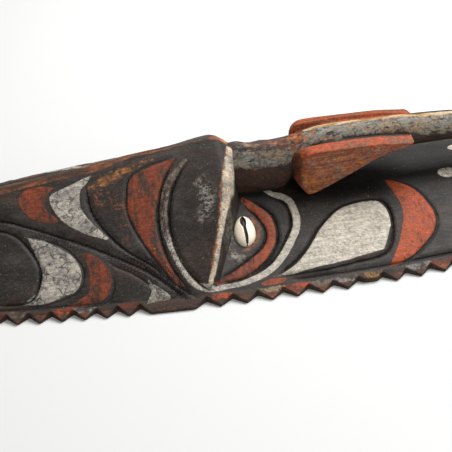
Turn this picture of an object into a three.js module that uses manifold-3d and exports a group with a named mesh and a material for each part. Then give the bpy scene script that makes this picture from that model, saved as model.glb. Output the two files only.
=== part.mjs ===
// A long carved wooden mask with a serrated rim, lying on its back with its face up.
// X runs from the top of the forehead (-X) to the chin (+X), Y across the mask, Z up.
// The origin is under the middle of the mask, on the surface it lies on. Millimetres.
import * as THREE from 'three';
import { mergeVertices } from 'three/addons/utils/BufferGeometryUtils.js';
import Module from 'manifold-3d';

const wasm = await Module();
wasm.setup();

// Outline of the mask, seen from above
const WIDEST_X = 50;
const TOP_REACH = 450;
const CHIN_REACH = 350;
const HALF_WIDTH = 99.5;
const OUTLINE_FULLNESS = 0.55;
const END_DROP = 0.94;
const END_POWER = 10;

// Serrated rim: teeth, and a plain tab beside each brow
const TOOTH_DEPTH = 6.5;
const NOTCH_REACH = 9;
const NOTCH_SPREAD = 0.66;
const FOREHEAD_PITCH = 14.9;
const FACE_PITCH = 17.8;
const TAB_START = -82.2;
const TAB_END = -36.7;
const CHIPPED_TOOTH = 78;
const CHIP_DEPTH = 3.5;
const CHIP_WIDTH = 12;
const CHIP_TURN = 0.06;
const PLAIN_END = 26;
const RIM_HEIGHT = 5.8;
const TIP_HEIGHT = 2.6;

// Forehead, a roof with a rounded ridge that climbs to the brow
const BROW_X = 0;
const RIDGE_HEIGHT = 72;
const RIDGE_SLOPE = 0.13;
const RIDGE_TIP = 12;
const RIDGE_DIP = 6.2;
const RIDGE_ROUNDING = 6;
const FLANK_POWER = 1.08;

// Brow crest, swept back towards the rim, and the step below it
const BROW_SWEEP = 0.38;
const BEVEL_RUN = 5;
const BEVEL_NARROW_SHARE = 0.35;
const BEVEL_NARROW_ACROSS = 4;
const BEVEL_FULL_ACROSS = 24;
const BEVEL_SLOPE = 0.9;
const WALL_RUN = 3;
const WALL_SLOPE = 8;
const LID_ALONG = -8;
const LID_ACROSS = 50;
const LID_RADIUS = 46;
const LID_SWELL = 4;
const LID_POWER = 2;

// Face below the brow
const FACE_HEIGHT = 28.8;
const FACE_FALL = 10;
const FACE_FALL_START = 175;
const CHEEK_POWER = 1.5;
const SOCKET_DISH = 2.5;

// Eye: the ring round the lid and the shell set in the socket
const RING_RADIUS = 53.5;
const SHELL_ALONG = 0;
const SHELL_ACROSS = 44;
const SHELL_LENGTH = 26;
const SHELL_WIDTH = 15.5;
const SHELL_DEPTH = 10;
const SHELL_PROUD = 5.5;
const SHELL_TILT = THREE.MathUtils.degToRad(17);
const SHELL_TURN = THREE.MathUtils.degToRad(7);
const SEAT_GAP = 0.4;
const SLIT_RADIUS = 1.1;
const SLIT_INSET = 1;

// Hollow of the back
const HOLLOW_INSET = 16;
const HOLLOW_END = 28;
const ROOF_THICKNESS = 14;
const CHEEK_THICKNESS = 12;
const HOLLOW_POWER = 1.3;
const HOLLOW_END_POWER = 0.4;
const ROOF_END = -48;
const CHEEK_START = -10;

// Carved lines
const LINE_WIDTH = 3.6;
const LINE_DEPTH = 1.7;
const LINE_LIFT = 0.8;
const LINE_END_SHARE = 0.1;
const RIM_LINE_INSET = 4.2;
const RIM_LINE_START = 22;
const RIM_LINE_END = 330;
const RING_START = THREE.MathUtils.degToRad(-130);
const RING_END = THREE.MathUtils.degToRad(-223);
const LID_START = THREE.MathUtils.degToRad(-124);
const LID_END = THREE.MathUtils.degToRad(-240);

const clamp01 = (value) => Math.min(Math.max(value, 0), 1);

function smoothStep(start, end, value) {
  const t = clamp01((value - start) / (end - start));
  return t * t * (3 - 2 * t);
}

// Smooth height through a few [position, height] pairs
function heightThrough(pairs, position) {
  const last = pairs.length - 1;
  if (position <= pairs[0][0]) return pairs[0][1];
  if (position >= pairs[last][0]) return pairs[last][1];
  let i = 0;
  while (position > pairs[i + 1][0]) i += 1;
  const slopeAt = (k) => {
    const before = pairs[Math.max(k - 1, 0)];
    const after = pairs[Math.min(k + 1, last)];
    return (after[1] - before[1]) / (after[0] - before[0]);
  };
  const [x0, z0] = pairs[i];
  const [x1, z1] = pairs[i + 1];
  const run = x1 - x0;
  const t = (position - x0) / run;
  const t2 = t * t;
  const t3 = t2 * t;
  const start = (2 * t3 - 3 * t2 + 1) * z0 + (t3 - 2 * t2 + t) * run * slopeAt(i);
  const end = (3 * t2 - 2 * t3) * z1 + (t3 - t2) * run * slopeAt(i + 1);
  return start + end;
}

// Outline

function endShare(x, inset = 0) {
  const reach = x < WIDEST_X ? TOP_REACH : CHIN_REACH;
  return Math.min(Math.abs(x - WIDEST_X) / (reach - inset), 1);
}

function tipHalfWidth(x) {
  return HALF_WIDTH * Math.pow(1 - endShare(x) ** 2, OUTLINE_FULLNESS);
}

function notchHalfWidth(x) {
  const tip = tipHalfWidth(x);
  return tip - TOOTH_DEPTH * (1 - Math.exp(-tip / (2 * TOOTH_DEPTH)));
}

// Carved surface, as a height over each point x along and a across from the middle

function endTaper(x) {
  return Math.sqrt(1 - END_DROP * endShare(x) ** END_POWER);
}

// 1 in the middle of the lid circle, 0 at its edge and beyond
function insideLid(x, a) {
  const share = Math.hypot(x - BROW_X - LID_ALONG, a - LID_ACROSS) / LID_RADIUS;
  return Math.max(1 - share ** 2, 0);
}

function foreheadHeight(x, a) {
  const beforeTip = BROW_X - RIDGE_TIP - x;
  const dip = RIDGE_DIP * smoothStep(-RIDGE_TIP, 0, x - BROW_X);
  const ridge = RIDGE_HEIGHT - RIDGE_SLOPE * Math.max(beforeTip, 0) - dip;
  const rounded = (d) => Math.hypot(d, RIDGE_ROUNDING) - RIDGE_ROUNDING;
  const share = clamp01(rounded(a) / rounded(notchHalfWidth(x)));
  return RIM_HEIGHT + (ridge - RIM_HEIGHT) * endTaper(x) * (1 - share ** FLANK_POWER);
}

function faceHeight(x, a) {
  const centre = FACE_HEIGHT - FACE_FALL * smoothStep(FACE_FALL_START, CHIN_REACH, x);
  const share = clamp01(a / notchHalfWidth(x));
  const cheek = RIM_HEIGHT + (centre - RIM_HEIGHT) * endTaper(x) * (1 - share ** CHEEK_POWER);
  return cheek - SOCKET_DISH * insideLid(x, a);
}

// Width of the bevel below the crest, narrow beside the nose
function bevelRun(a) {
  const gained = smoothStep(BEVEL_NARROW_ACROSS, BEVEL_FULL_ACROSS, a);
  return BEVEL_RUN * (BEVEL_NARROW_SHARE + (1 - BEVEL_NARROW_SHARE) * gained);
}

function surfaceHeight(x, a) {
  const pastCrest = x - BROW_X + BROW_SWEEP * a;
  const swell = (along) => LID_SWELL * insideLid(along, a) ** LID_POWER;
  const lidHeight = (along) => foreheadHeight(along, a) + swell(along);
  if (pastCrest <= 0) return lidHeight(x);
  const crest = lidHeight(BROW_X - BROW_SWEEP * a);
  const bevel = BEVEL_SLOPE * Math.min(pastCrest, bevelRun(a));
  const wall = WALL_SLOPE * Math.max(pastCrest - bevelRun(a), 0);
  return Math.max(faceHeight(x, a), crest - bevel - wall);
}

// Solids

const WELD = 1e-4;

function toSolid(geometry) {
  const plain = geometry.clone();
  plain.deleteAttribute('normal');
  plain.deleteAttribute('uv');
  const merged = mergeVertices(plain, WELD);
  const vertProperties = new Float32Array(merged.attributes.position.array);
  const triVerts = new Uint32Array(merged.index.array);
  return new wasm.Manifold(new wasm.Mesh({ numProp: 3, vertProperties, triVerts }));
}

function toGeometry(solid) {
  const mesh = solid.getMesh();
  const geometry = new THREE.BufferGeometry();
  geometry.setAttribute('position', new THREE.BufferAttribute(mesh.vertProperties, 3));
  geometry.setIndex(new THREE.BufferAttribute(mesh.triVerts, 1));
  return geometry;
}

// Closed loft through rings of the same number of points, each ring anticlockwise seen from +X
function loft(rings) {
  const size = rings[0].length;
  const points = rings.flat();
  const index = [];
  for (let i = 0; i < rings.length - 1; i += 1) {
    for (let j = 0; j < size; j += 1) {
      const a = i * size + j;
      const b = i * size + ((j + 1) % size);
      index.push(a, b, b + size, a, b + size, a + size);
    }
  }
  const capEnd = (ring, facesForward) => {
    const first = rings.indexOf(ring) * size;
    const outline = ring.map((point) => new THREE.Vector2(point.y, point.z));
    for (const [a, b, c] of THREE.ShapeUtils.triangulateShape(outline, [])) {
      if (facesForward) index.push(first + a, first + b, first + c);
      else index.push(first + a, first + c, first + b);
    }
  };
  capEnd(rings[0], false);
  capEnd(rings[rings.length - 1], true);
  const geometry = new THREE.BufferGeometry();
  geometry.setAttribute('position', new THREE.Float32BufferAttribute(
    points.flatMap((point) => [point.x, point.y, point.z]), 3));
  geometry.setIndex(index);
  return toSolid(geometry);
}

// Steps beside the brow crest, as distances along the mask from it
const FOREHEAD_STATIONS = [-72, -62, -52, -43, -34, -26, -18, -10, -4];
const FACE_STATIONS = [16, 25, 35, 47, 62, 78];

// Steps along the mask, close together across the brow, wider towards both ends
function plateStations() {
  const browStart = FOREHEAD_STATIONS[0];
  const browEnd = FACE_STATIONS[FACE_STATIONS.length - 1];
  const stations = [];
  const startAngle = Math.asin((BROW_X + browStart - WIDEST_X) / TOP_REACH);
  const endAngle = Math.asin((BROW_X + browEnd - WIDEST_X) / CHIN_REACH);
  const END_SPAN = 0.999;
  const widest = END_SPAN * Math.PI / 2;
  const TOP_STEPS = 12;
  const CHIN_STEPS = 13;
  for (let i = 0; i < TOP_STEPS; i += 1) {
    const angle = -widest + (startAngle + widest) * (i / TOP_STEPS);
    stations.push(WIDEST_X + TOP_REACH * Math.sin(angle) - BROW_X);
  }
  stations.push(...FOREHEAD_STATIONS, 0, BEVEL_RUN, BEVEL_RUN + WALL_RUN, ...FACE_STATIONS);
  for (let i = 1; i <= CHIN_STEPS; i += 1) {
    const angle = endAngle + (widest - endAngle) * (i / CHIN_STEPS);
    stations.push(WIDEST_X + CHIN_REACH * Math.sin(angle) - BROW_X);
  }
  return stations;
}

// How far a station line follows the swept crest: fully at the brow, not at all far from it
function sweepShare(station) {
  const SWEEP_FROM = -150;
  const SWEEP_TO = 110;
  const gained = smoothStep(SWEEP_FROM, FOREHEAD_STATIONS[0], station);
  return gained * (1 - smoothStep(FACE_STATIONS[0], SWEEP_TO, station));
}

function plateRing(station) {
  const ACROSS = [0, 0.06, 0.14, 0.26, 0.39, 0.52, 0.65, 0.78, 0.9, 1];
  const sweep = BROW_SWEEP * sweepShare(station);
  const middle = BROW_X + station;
  const xAt = (a) => middle - sweep * a;
  const SETTLING_ROUNDS = 6;
  const settle = (halfWidth) => {
    let a = halfWidth(middle);
    for (let i = 0; i < SETTLING_ROUNDS; i += 1) a = halfWidth(xAt(a));
    return a;
  };
  const notch = settle(notchHalfWidth);
  const tip = settle(tipHalfWidth);
  const half = ACROSS.map((share) => {
    const a = share * notch;
    return [xAt(a), a, surfaceHeight(xAt(a), a)];
  });
  half.push([xAt(tip), tip, TIP_HEIGHT], [xAt(tip), tip, 0]);
  const near = half.map(([x, a, z]) => new THREE.Vector3(x, -a, z)).reverse();
  const far = half.slice(1).map(([x, a, z]) => new THREE.Vector3(x, a, z));
  return [...near, ...far].reverse();
}

function plateSolid() {
  return loft(plateStations().map(plateRing));
}

function hollowSolid() {
  const STEPS = 22;
  const BELOW = -6;
  const SPAN = 0.99;
  const ACROSS = [-1, -0.85, -0.68, -0.5, -0.32, -0.15, 0, 0.15, 0.32, 0.5, 0.68, 0.85, 1];
  const rings = [];
  for (let i = 0; i <= STEPS; i += 1) {
    const angle = SPAN * Math.PI * (i / STEPS - 0.5);
    const reach = (angle < 0 ? TOP_REACH : CHIN_REACH) - HOLLOW_END;
    const x = WIDEST_X + reach * Math.sin(angle);
    const fullness = Math.pow(1 - endShare(x, HOLLOW_END) ** 2, OUTLINE_FULLNESS);
    const halfWidth = (HALF_WIDTH - HOLLOW_INSET) * fullness;
    const roof = foreheadHeight(x, 0) - ROOF_THICKNESS;
    const cheek = faceHeight(x, 0) - CHEEK_THICKNESS;
    const height = THREE.MathUtils.lerp(roof, cheek, smoothStep(ROOF_END, CHEEK_START, x - BROW_X));
    const ceiling = ACROSS.map((share) => {
      const crown = height * fullness ** HOLLOW_END_POWER;
      const rise = crown * (1 - Math.abs(share) ** HOLLOW_POWER);
      return new THREE.Vector3(x, halfWidth * share, rise);
    });
    const floor = [1, -1].map((side) => new THREE.Vector3(x, side * halfWidth, BELOW));
    rings.push([...ceiling.reverse(), ...floor.reverse()]);
  }
  return loft(rings);
}

// Nose: a bar that leaves the brow, passes over the cheeks and comes down on the chin
const NOSE_CREST = [[-8, 65.8], [3, 67.6], [13, 65], [28, 65.3], [45, 67], [54, 68.8],
  [66, 71.2], [100, 72], [160, 70.8], [205, 65.8], [245, 52.8], [280, 34.8], [312, 19.8]];
const NOSE_UNDER = [[-8, 20.8], [36, 22.8], [46, 36.8], [60, 44.8], [110, 46.8], [165, 48.8],
  [205, 44.8], [240, 31.8], [272, 13.8], [295, 5.8], [312, 4.8]];
const NOSE_HALF_WIDTH = [[-8, 10], [15, 12], [50, 13], [130, 12], [210, 11], [285, 9], [312, 5]];
const NOSE_NARROWING = 0.16;

function noseSolid() {
  const SIDES = 12;
  const STEP = 13;
  const start = NOSE_CREST[0][0];
  const end = NOSE_CREST[NOSE_CREST.length - 1][0];
  const count = Math.round((end - start) / STEP);
  const rings = [];
  for (let i = 0; i <= count; i += 1) {
    const u = start + (end - start) * (i / count);
    const top = heightThrough(NOSE_CREST, u);
    const under = heightThrough(NOSE_UNDER, u);
    const halfWidth = heightThrough(NOSE_HALF_WIDTH, u);
    const middle = (top + under) / 2;
    const half = (top - under) / 2;
    const ring = [];
    for (let k = 0; k < SIDES; k += 1) {
      const angle = 2 * Math.PI * k / SIDES;
      const narrowing = 1 - NOSE_NARROWING * Math.sin(angle);
      const across = halfWidth * narrowing * Math.cos(angle);
      ring.push(new THREE.Vector3(BROW_X + u, across, middle + half * Math.sin(angle)));
    }
    rings.push(ring);
  }
  return loft(rings);
}

// Nostril wing on one side of the bar, deep behind and running out to a blunt edge in front
const WING_TOP = [[47, 61.3], [53, 64.8], [75, 65.3], [105, 65], [131, 62.6]];
const WING_SHOULDER = [[47, 62], [53, 65.8], [75, 67.6], [105, 67.3], [131, 64.4]];
const WING_INNER_TOP = [[47, 51], [53, 58.5], [66, 65.5], [105, 66.5], [131, 64]];
const WING_UNDER = [[47, 34.8], [53, 29.3], [66, 33.8], [90, 45.3], [106, 53.3], [131, 60.3]];
const FAR_WING_SHIFT = 3;
const FAR_WING_LENGTHENING = 7;
const WING_ACROSS = 24;
const WING_INNER = 7;
const WING_SWEEP = 0.5;
const WING_FLARE = 3;
const WING_ROOT_HEIGHT = 44.8;
const WING_TOP_FACE = 8;
const WING_END_INSET = 1.5;
const WING_EDGE = 2;
const WING_STATIONS = [47, 53, 66, 90, 106, 122, 131];
const WING_SWEPT_STATIONS = 2;

// Place along the bar: the far wing lies a little further forward and is a little longer
function wingPlace(u, side) {
  const last = WING_STATIONS.length - 1;
  const share = (u - WING_STATIONS[0]) / (WING_STATIONS[last] - WING_STATIONS[0]);
  return side < 0 ? u : u + FAR_WING_SHIFT + FAR_WING_LENGTHENING * share;
}

function wingSolid(side) {
  const rings = WING_STATIONS.map((u, i) => {
    const middle = wingPlace(u, side);
    const top = heightThrough(WING_TOP, u);
    const under = heightThrough(WING_UNDER, u);
    const outer = WING_ACROSS - (i === 0 ? WING_END_INSET : 0);
    const back = i < WING_SWEPT_STATIONS ? WING_SWEEP * (outer - WING_INNER) : 0;
    const foot = outer + WING_FLARE * (top - under) / WING_TOP[0][1];
    const innerTop = heightThrough(WING_INNER_TOP, u);
    const root = Math.min(Math.max(under + 3 * WING_EDGE, WING_ROOT_HEIGHT), innerTop - WING_EDGE / 4);
    const points = [
      [middle - back, WING_INNER, innerTop],
      [middle - back, WING_INNER, root],
      [middle, foot - WING_EDGE, under],
      [middle, foot, under + WING_EDGE],
      [middle, outer, top],
      [middle - back / 2, outer - WING_TOP_FACE, heightThrough(WING_SHOULDER, u)],
    ];
    const ring = points.map(([along, a, z]) => new THREE.Vector3(BROW_X + along, side * a, z));
    return side > 0 ? ring : ring.reverse();
  });
  return loft(rings);
}

// Notches of the serrated rim

function rimSlope(x) {
  return (notchHalfWidth(x + 1) - notchHalfWidth(x - 1)) / 2;
}

function rimPoint(x, side) {
  const slope = rimSlope(x);
  const normal = new THREE.Vector2(-slope, 1).normalize();
  return { x, y: side * notchHalfWidth(x), nx: normal.x, ny: side * normal.y };
}

function notchSolid(x, side, pitch) {
  const rim = rimPoint(x, side);
  const along = { x: -rim.ny * side, y: rim.nx * side };
  const apex = [rim.x, rim.y];
  const corner = (sign) => [
    rim.x + rim.nx * NOTCH_REACH + sign * along.x * pitch * NOTCH_SPREAD,
    rim.y + rim.ny * NOTCH_REACH + sign * along.y * pitch * NOTCH_SPREAD,
  ];
  const outline = [apex, corner(1), corner(-1)].map(([px, py]) => new THREE.Vector2(px, py));
  const shape = new THREE.Shape(outline);
  const wedge = new THREE.ExtrudeGeometry(shape, { depth: 2 * RIM_HEIGHT, bevelEnabled: false });
  wedge.translate(0, 0, -RIM_HEIGHT / 2);
  return toSolid(wedge);
}

// Notch places along the rim, an even pitch apart measured along the curved edge
function notchPlaces(start, direction, pitch) {
  const places = [];
  const end = direction < 0 ? WIDEST_X - TOP_REACH : WIDEST_X + CHIN_REACH;
  let x = start;
  while (Math.abs(end - x) > PLAIN_END) {
    places.push(x);
    x += direction * pitch / Math.hypot(1, rimSlope(x));
  }
  return places;
}

// One tooth of the near side has lost its point
function chipSolid() {
  const chip = new THREE.BoxGeometry(CHIP_WIDTH, 2 * CHIP_DEPTH, 4 * RIM_HEIGHT);
  chip.rotateZ(CHIP_TURN);
  chip.translate(CHIPPED_TOOTH, -HALF_WIDTH, 0);
  return toSolid(chip);
}

function rimNotches() {
  const notches = [chipSolid()];
  for (const side of [-1, 1]) {
    for (const x of notchPlaces(TAB_START, -1, FOREHEAD_PITCH)) {
      notches.push(notchSolid(x, side, FOREHEAD_PITCH));
    }
    for (const x of notchPlaces(TAB_END, 1, FACE_PITCH)) {
      notches.push(notchSolid(x, side, FACE_PITCH));
    }
  }
  return notches;
}

// Carved lines: a V cut that follows the surface along a plan curve, running out at both ends

// Arc round the middle of the lid
function arcPath({ radius, start, end, steps }) {
  const path = [];
  for (let i = 0; i <= steps; i += 1) {
    const angle = start + (end - start) * i / steps;
    path.push([LID_ALONG + radius * Math.cos(angle), LID_ACROSS + radius * Math.sin(angle)]);
  }
  return path;
}

function curvePath({ through, steps }) {
  const vectors = through.map(([u, a]) => new THREE.Vector3(u, a, 0));
  const curve = new THREE.CatmullRomCurve3(vectors, false, 'centripetal');
  return curve.getPoints(steps).map((point) => [point.x, point.y]);
}

function lineSolid(path, side) {
  const points = [];
  const last = path.length - 1;
  path.forEach(([u, a], i) => {
    const before = path[Math.max(i - 1, 0)];
    const after = path[Math.min(i + 1, last)];
    const length = Math.hypot(after[0] - before[0], after[1] - before[1]);
    const nx = -(after[1] - before[1]) / length;
    const na = (after[0] - before[0]) / length;
    const x = BROW_X + u;
    const open = i === 0 || i === last ? LINE_END_SHARE : 1;
    const half = open * (LINE_WIDTH / 2) * (1 + LINE_LIFT / LINE_DEPTH);
    for (const edge of [-1, 1]) {
      const ex = x + edge * half * nx;
      const ea = a + edge * half * na;
      points.push([ex, ea, surfaceHeight(ex, ea) + LINE_LIFT]);
    }
    const depth = open < 1 ? -LINE_LIFT / 2 : LINE_DEPTH;
    points.push([x, a, surfaceHeight(x, a) - depth]);
  });
  const index = [];
  for (let i = 0; i < last; i += 1) {
    for (const [from, to] of [[0, 1], [1, 2], [2, 0]]) {
      const a = 3 * i + from;
      const b = 3 * i + to;
      index.push(a, b, a + 3, b, b + 3, a + 3);
    }
  }
  index.push(0, 2, 1, 3 * last, 3 * last + 1, 3 * last + 2);
  if (side > 0) index.reverse();
  const geometry = new THREE.BufferGeometry();
  geometry.setAttribute('position', new THREE.Float32BufferAttribute(
    points.flatMap(([x, a, z]) => [x, side * a, z]), 3));
  geometry.setIndex(index);
  return toSolid(geometry);
}

// Line that keeps an even distance inside the notches of the rim
function rimPath({ start, end, inset, steps }) {
  const path = [];
  for (let i = 0; i <= steps; i += 1) {
    const x = start + (end - start) * i / steps;
    path.push([x - BROW_X, notchHalfWidth(x) - inset]);
  }
  return path;
}

// Plan curves of the carved lines, as distance from the brow along the mask and from its middle
const CARVED_LINES = [
  arcPath({ radius: RING_RADIUS, start: RING_START, end: RING_END, steps: 12 }),
  arcPath({ radius: LID_RADIUS, start: LID_START, end: LID_END, steps: 12 }),
  curvePath({ steps: 14, through: [[-30, 82.5], [-10, 81], [11, 73], [20, 64.8], [27.5, 55.2],
    [33, 46], [35.2, 35], [34, 25], [22, 12]] }),
  curvePath({ steps: 12, through: [[-24, 81.8], [-7.5, 79.9], [8.6, 71.2], [19.6, 59.2],
    [23.4, 46.5], [22, 31.5], [9, 14.5]] }),
  curvePath({ steps: 10, through: [[-26, 79.5], [-12, 71.6], [1.5, 64.1], [9.5, 58],
    [14.2, 49.4], [13.8, 39], [9.6, 27.8], [3, 20]] }),
  curvePath({ steps: 14, through: [[-330, 11], [-250, 12], [-168, 23], [-149, 31], [-126, 42.6],
    [-99, 56.8], [-72, 72.7], [-48, 93]] }),
  curvePath({ steps: 12, through: [[-107, 10], [-107, 20.5], [-105.5, 31], [-94.5, 48.4],
    [-84.4, 58.5], [-71.3, 68], [-58.8, 79.6], [-42, 92]] }),
  curvePath({ steps: 12, through: [[-215, 33], [-180, 27], [-160.5, 33.3], [-148, 49.6],
    [-145.4, 58.5], [-152.4, 73.7], [-180, 73]] }),
  curvePath({ steps: 18, through: [[14, 84.5], [37.5, 68.5], [53, 50.6], [74, 34.5], [92, 31.5],
    [105, 34], [108, 49], [96.5, 77], [70, 82.5], [42, 84.8], [14, 84.5]] }),
  rimPath({ start: RIM_LINE_START, end: RIM_LINE_END, inset: RIM_LINE_INSET, steps: 12 }),
];

function shellSolid(grow) {
  const SEGMENTS = 14;
  const BELTS = 8;
  const ball = new THREE.SphereGeometry(0.5, SEGMENTS, BELTS);
  ball.rotateX(Math.PI / 2);
  ball.scale(SHELL_WIDTH + 2 * grow, SHELL_LENGTH + 2 * grow, SHELL_DEPTH + 2 * grow);
  return toSolid(ball);
}

function shellPlace(side) {
  const rest = surfaceHeight(BROW_X + SHELL_ALONG, SHELL_ACROSS);
  const height = rest + SHELL_PROUD - SHELL_DEPTH / 2;
  const position = new THREE.Vector3(BROW_X + SHELL_ALONG, side * SHELL_ACROSS, height);
  const turn = new THREE.Euler(-side * SHELL_TILT, 0, side * SHELL_TURN, 'ZYX');
  return new THREE.Matrix4().compose(position, new THREE.Quaternion().setFromEuler(turn),
    new THREE.Vector3(1, 1, 1));
}

// Cowrie with its toothed mouth up: an oval shell with a slit along it
function cowrieMesh(name, side, material) {
  const SLIT_SIDES = 3;
  const slitLength = SHELL_LENGTH - 2 * SLIT_INSET;
  const slit = new THREE.CylinderGeometry(SLIT_RADIUS, SLIT_RADIUS, slitLength, SLIT_SIDES);
  slit.rotateY(Math.PI);
  slit.translate(0, 0, SHELL_DEPTH / 2);
  const shell = shellSolid(0).subtract(toSolid(slit));
  const geometry = toGeometry(shell).applyMatrix4(shellPlace(side));
  const mesh = new THREE.Mesh(geometry, material);
  mesh.name = name;
  return mesh;
}

function maskMesh(material) {
  let body = plateSolid().add(noseSolid());
  body = body.add(wingSolid(1)).add(wingSolid(-1));
  body = body.subtract(hollowSolid());
  for (const notch of rimNotches()) body = body.subtract(notch);
  for (const side of [-1, 1]) {
    for (const path of CARVED_LINES) body = body.subtract(lineSolid(path, side));
    const seat = toGeometry(shellSolid(SEAT_GAP)).applyMatrix4(shellPlace(side));
    body = body.subtract(toSolid(seat));
  }
  const mesh = new THREE.Mesh(toGeometry(body), material);
  mesh.name = 'mask_body';
  return mesh;
}

const blackenedWood = new THREE.MeshStandardMaterial({ color: 0x35302d, roughness: 0.75, metalness: 0 });
const shellWhite = new THREE.MeshStandardMaterial({ color: 0xf1ead8, roughness: 0.3, metalness: 0 });

const mask = new THREE.Group();
mask.add(maskMesh(blackenedWood));
mask.add(cowrieMesh('cowrie_eye_left', -1, shellWhite));
mask.add(cowrieMesh('cowrie_eye_right', 1, shellWhite));

export default mask;
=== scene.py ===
"""Looks of a long carved and painted mask with a serrated rim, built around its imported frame."""

import math
from types import SimpleNamespace

import bpy
import numpy as np
from mathutils import Matrix, Vector, noise


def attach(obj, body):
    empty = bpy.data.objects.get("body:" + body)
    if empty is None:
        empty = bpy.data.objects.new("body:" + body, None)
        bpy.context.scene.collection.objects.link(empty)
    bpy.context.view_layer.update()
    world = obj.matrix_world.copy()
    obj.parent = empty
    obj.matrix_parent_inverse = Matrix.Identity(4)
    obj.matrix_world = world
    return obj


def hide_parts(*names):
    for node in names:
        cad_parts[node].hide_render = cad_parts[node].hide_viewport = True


bl_info = {
    "name": "Carved mask",
    "version": (1, 0, 0),
    "blender": (4, 5, 0),
    "location": "View3D > Sidebar > Mask",
    "description": "Builds a carved, painted mask with cowrie eyes and its studio",
    "category": "Object",
}

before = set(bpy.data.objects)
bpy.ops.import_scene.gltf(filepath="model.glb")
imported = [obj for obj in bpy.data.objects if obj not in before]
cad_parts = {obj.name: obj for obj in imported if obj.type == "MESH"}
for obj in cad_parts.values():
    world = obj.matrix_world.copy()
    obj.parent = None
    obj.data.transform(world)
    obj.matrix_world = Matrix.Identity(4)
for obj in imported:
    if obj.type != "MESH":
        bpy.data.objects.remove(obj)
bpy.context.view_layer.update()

MM = 0.001
RANDOM_SEED = 11


# Properties

def length(name, description, millimetres):
    """A size, given in millimetres."""
    return bpy.props.FloatProperty(
        name=name, description=description, default=millimetres * MM,
        unit="LENGTH", subtype="DISTANCE")


def angle(name, description, degrees):
    """An angle, given in degrees."""
    return bpy.props.FloatProperty(
        name=name, description=description, default=math.radians(degrees),
        unit="ROTATION", subtype="ANGLE")


def linear(channel):
    """Linear value of a display channel between 0 and 255."""
    share = channel / 255
    return share / 12.92 if share <= 0.04045 else ((share + 0.055) / 1.055) ** 2.4


def colour(name, description, red, green, blue):
    """A colour, given as display channels between 0 and 255."""
    return bpy.props.FloatVectorProperty(
        name=name, description=description, size=3, min=0, max=1, subtype="COLOR",
        default=(linear(red), linear(green), linear(blue)))


def number(name, description, default):
    """A plain number."""
    return bpy.props.FloatProperty(name=name, description=description, default=default)


class MaskSizes(bpy.types.PropertyGroup):
    """Sizes of the mask. Lengths run along it from the brow, and across from its middle."""

    widest: length("Widest place", "Where the outline is widest, along the mask", 50)
    top_reach: length("Top reach", "From the widest place to the top end", 450)
    chin_reach: length("Chin reach", "From the widest place to the chin", 350)
    half_width: length("Half width", "From the middle to the tooth tips at the widest place", 99.3)
    tooth_depth: length("Tooth depth", "How far the teeth stand out of the notches", 6.5)
    forehead_pitch: length("Forehead pitch", "Distance between the notches beside the forehead", 14.9)
    face_pitch: length("Face pitch", "Distance between the notches beside the face", 17.8)
    tab_start: length("Tab start", "Forehead end of the plain tab of the rim", -82.2)
    tab_end: length("Tab end", "Face end of the plain tab of the rim", -36.7)
    chipped_tooth: length("Chipped tooth", "Place of the tooth that lost its point", 78)
    chipped_depth: length("Chipped tooth depth", "What is left of the chipped tooth", 3)
    plain_end: length("Plain end", "Rim without teeth at both ends", 26)
    rim_height: length("Rim height", "Height of the rim at the notches", 5.8)
    tip_height: length("Tip height", "Height of the tooth tips", 2.6)
    ridge_height: length("Ridge height", "Height of the forehead ridge at the brow", 71.9)
    ridge_tip: length("Ridge tip", "Where the ridge starts to fall towards the nose", 12)
    ridge_dip: length("Ridge dip", "How far the ridge falls behind the nose", 6.2)
    ridge_rounding: length("Ridge rounding", "Roundness of the ridge", 6)
    bevel_run: length("Bevel run", "Width of the white bevel along the brow crest", 5)
    lid_along: length("Lid along", "Middle of the lid circle, along the mask", -8)
    lid_across: length("Lid across", "Middle of the lid circle, across the mask", 50)
    lid_radius: length("Lid radius", "Radius of the lid circle", 46)
    ring_radius: length("Ring radius", "Radius of the outer ring round the lid", 53.5)
    lid_swell: length("Lid swell", "How far the lid stands out in its middle", 4)
    face_height: length("Face height", "Height of the face along its middle", 28.8)
    face_fall: length("Face fall", "How far the face falls towards the chin", 10)
    face_fall_start: length("Face fall start", "Where the face starts to fall", 175)
    socket_dish: length("Socket dish", "How deep the eye socket is dished", 2.5)
    line_width: length("Line width", "Width of the carved lines", 3.4)
    line_depth: length("Line depth", "Depth of the carved lines", 1.7)
    hollow_inset: length("Hollow inset", "Width of the rim behind, at the widest place", 16)
    hollow_end: length("Hollow end", "Solid wood at both ends", 28)
    roof_thickness: length("Roof thickness", "Wood between the ridge and the hollow", 14)
    cheek_thickness: length("Cheek thickness", "Wood between the face and the hollow", 12)
    wing_across: length("Wing across", "From the middle to the outer face of a nostril wing", 24)
    wing_flare: length("Wing flare", "How far the foot of a wing stands out", 3)
    far_shift: length("Far wing shift", "How far the far wing lies further forward", 3)
    far_growth: length("Far wing growth", "How much longer the far wing is", 7)
    shell_along: length("Shell along", "Middle of the cowrie, along the mask", 0)
    shell_across: length("Shell across", "Middle of the cowrie, across the mask", 44)
    shell_length: length("Shell length", "Length of the cowrie", 26)
    shell_width: length("Shell width", "Width of the cowrie", 15.5)
    shell_depth: length("Shell depth", "Depth of the cowrie", 10)
    shell_proud: length("Shell proud", "How far the cowrie stands out of the socket", 5.5)
    seat_gap: length("Seat gap", "Gap between the cowrie and its seat", 0.4)
    brow_sweep: number("Brow sweep", "How far the brow runs back for each length across", 0.38)
    ridge_slope: number("Ridge slope", "How fast the ridge falls towards the top", 0.13)
    shell_tilt: angle("Shell tilt", "How far the cowrie leans towards the rim", 17)
    shell_turn: angle("Shell turn", "How far the cowrie is turned in the face", 7)


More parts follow.
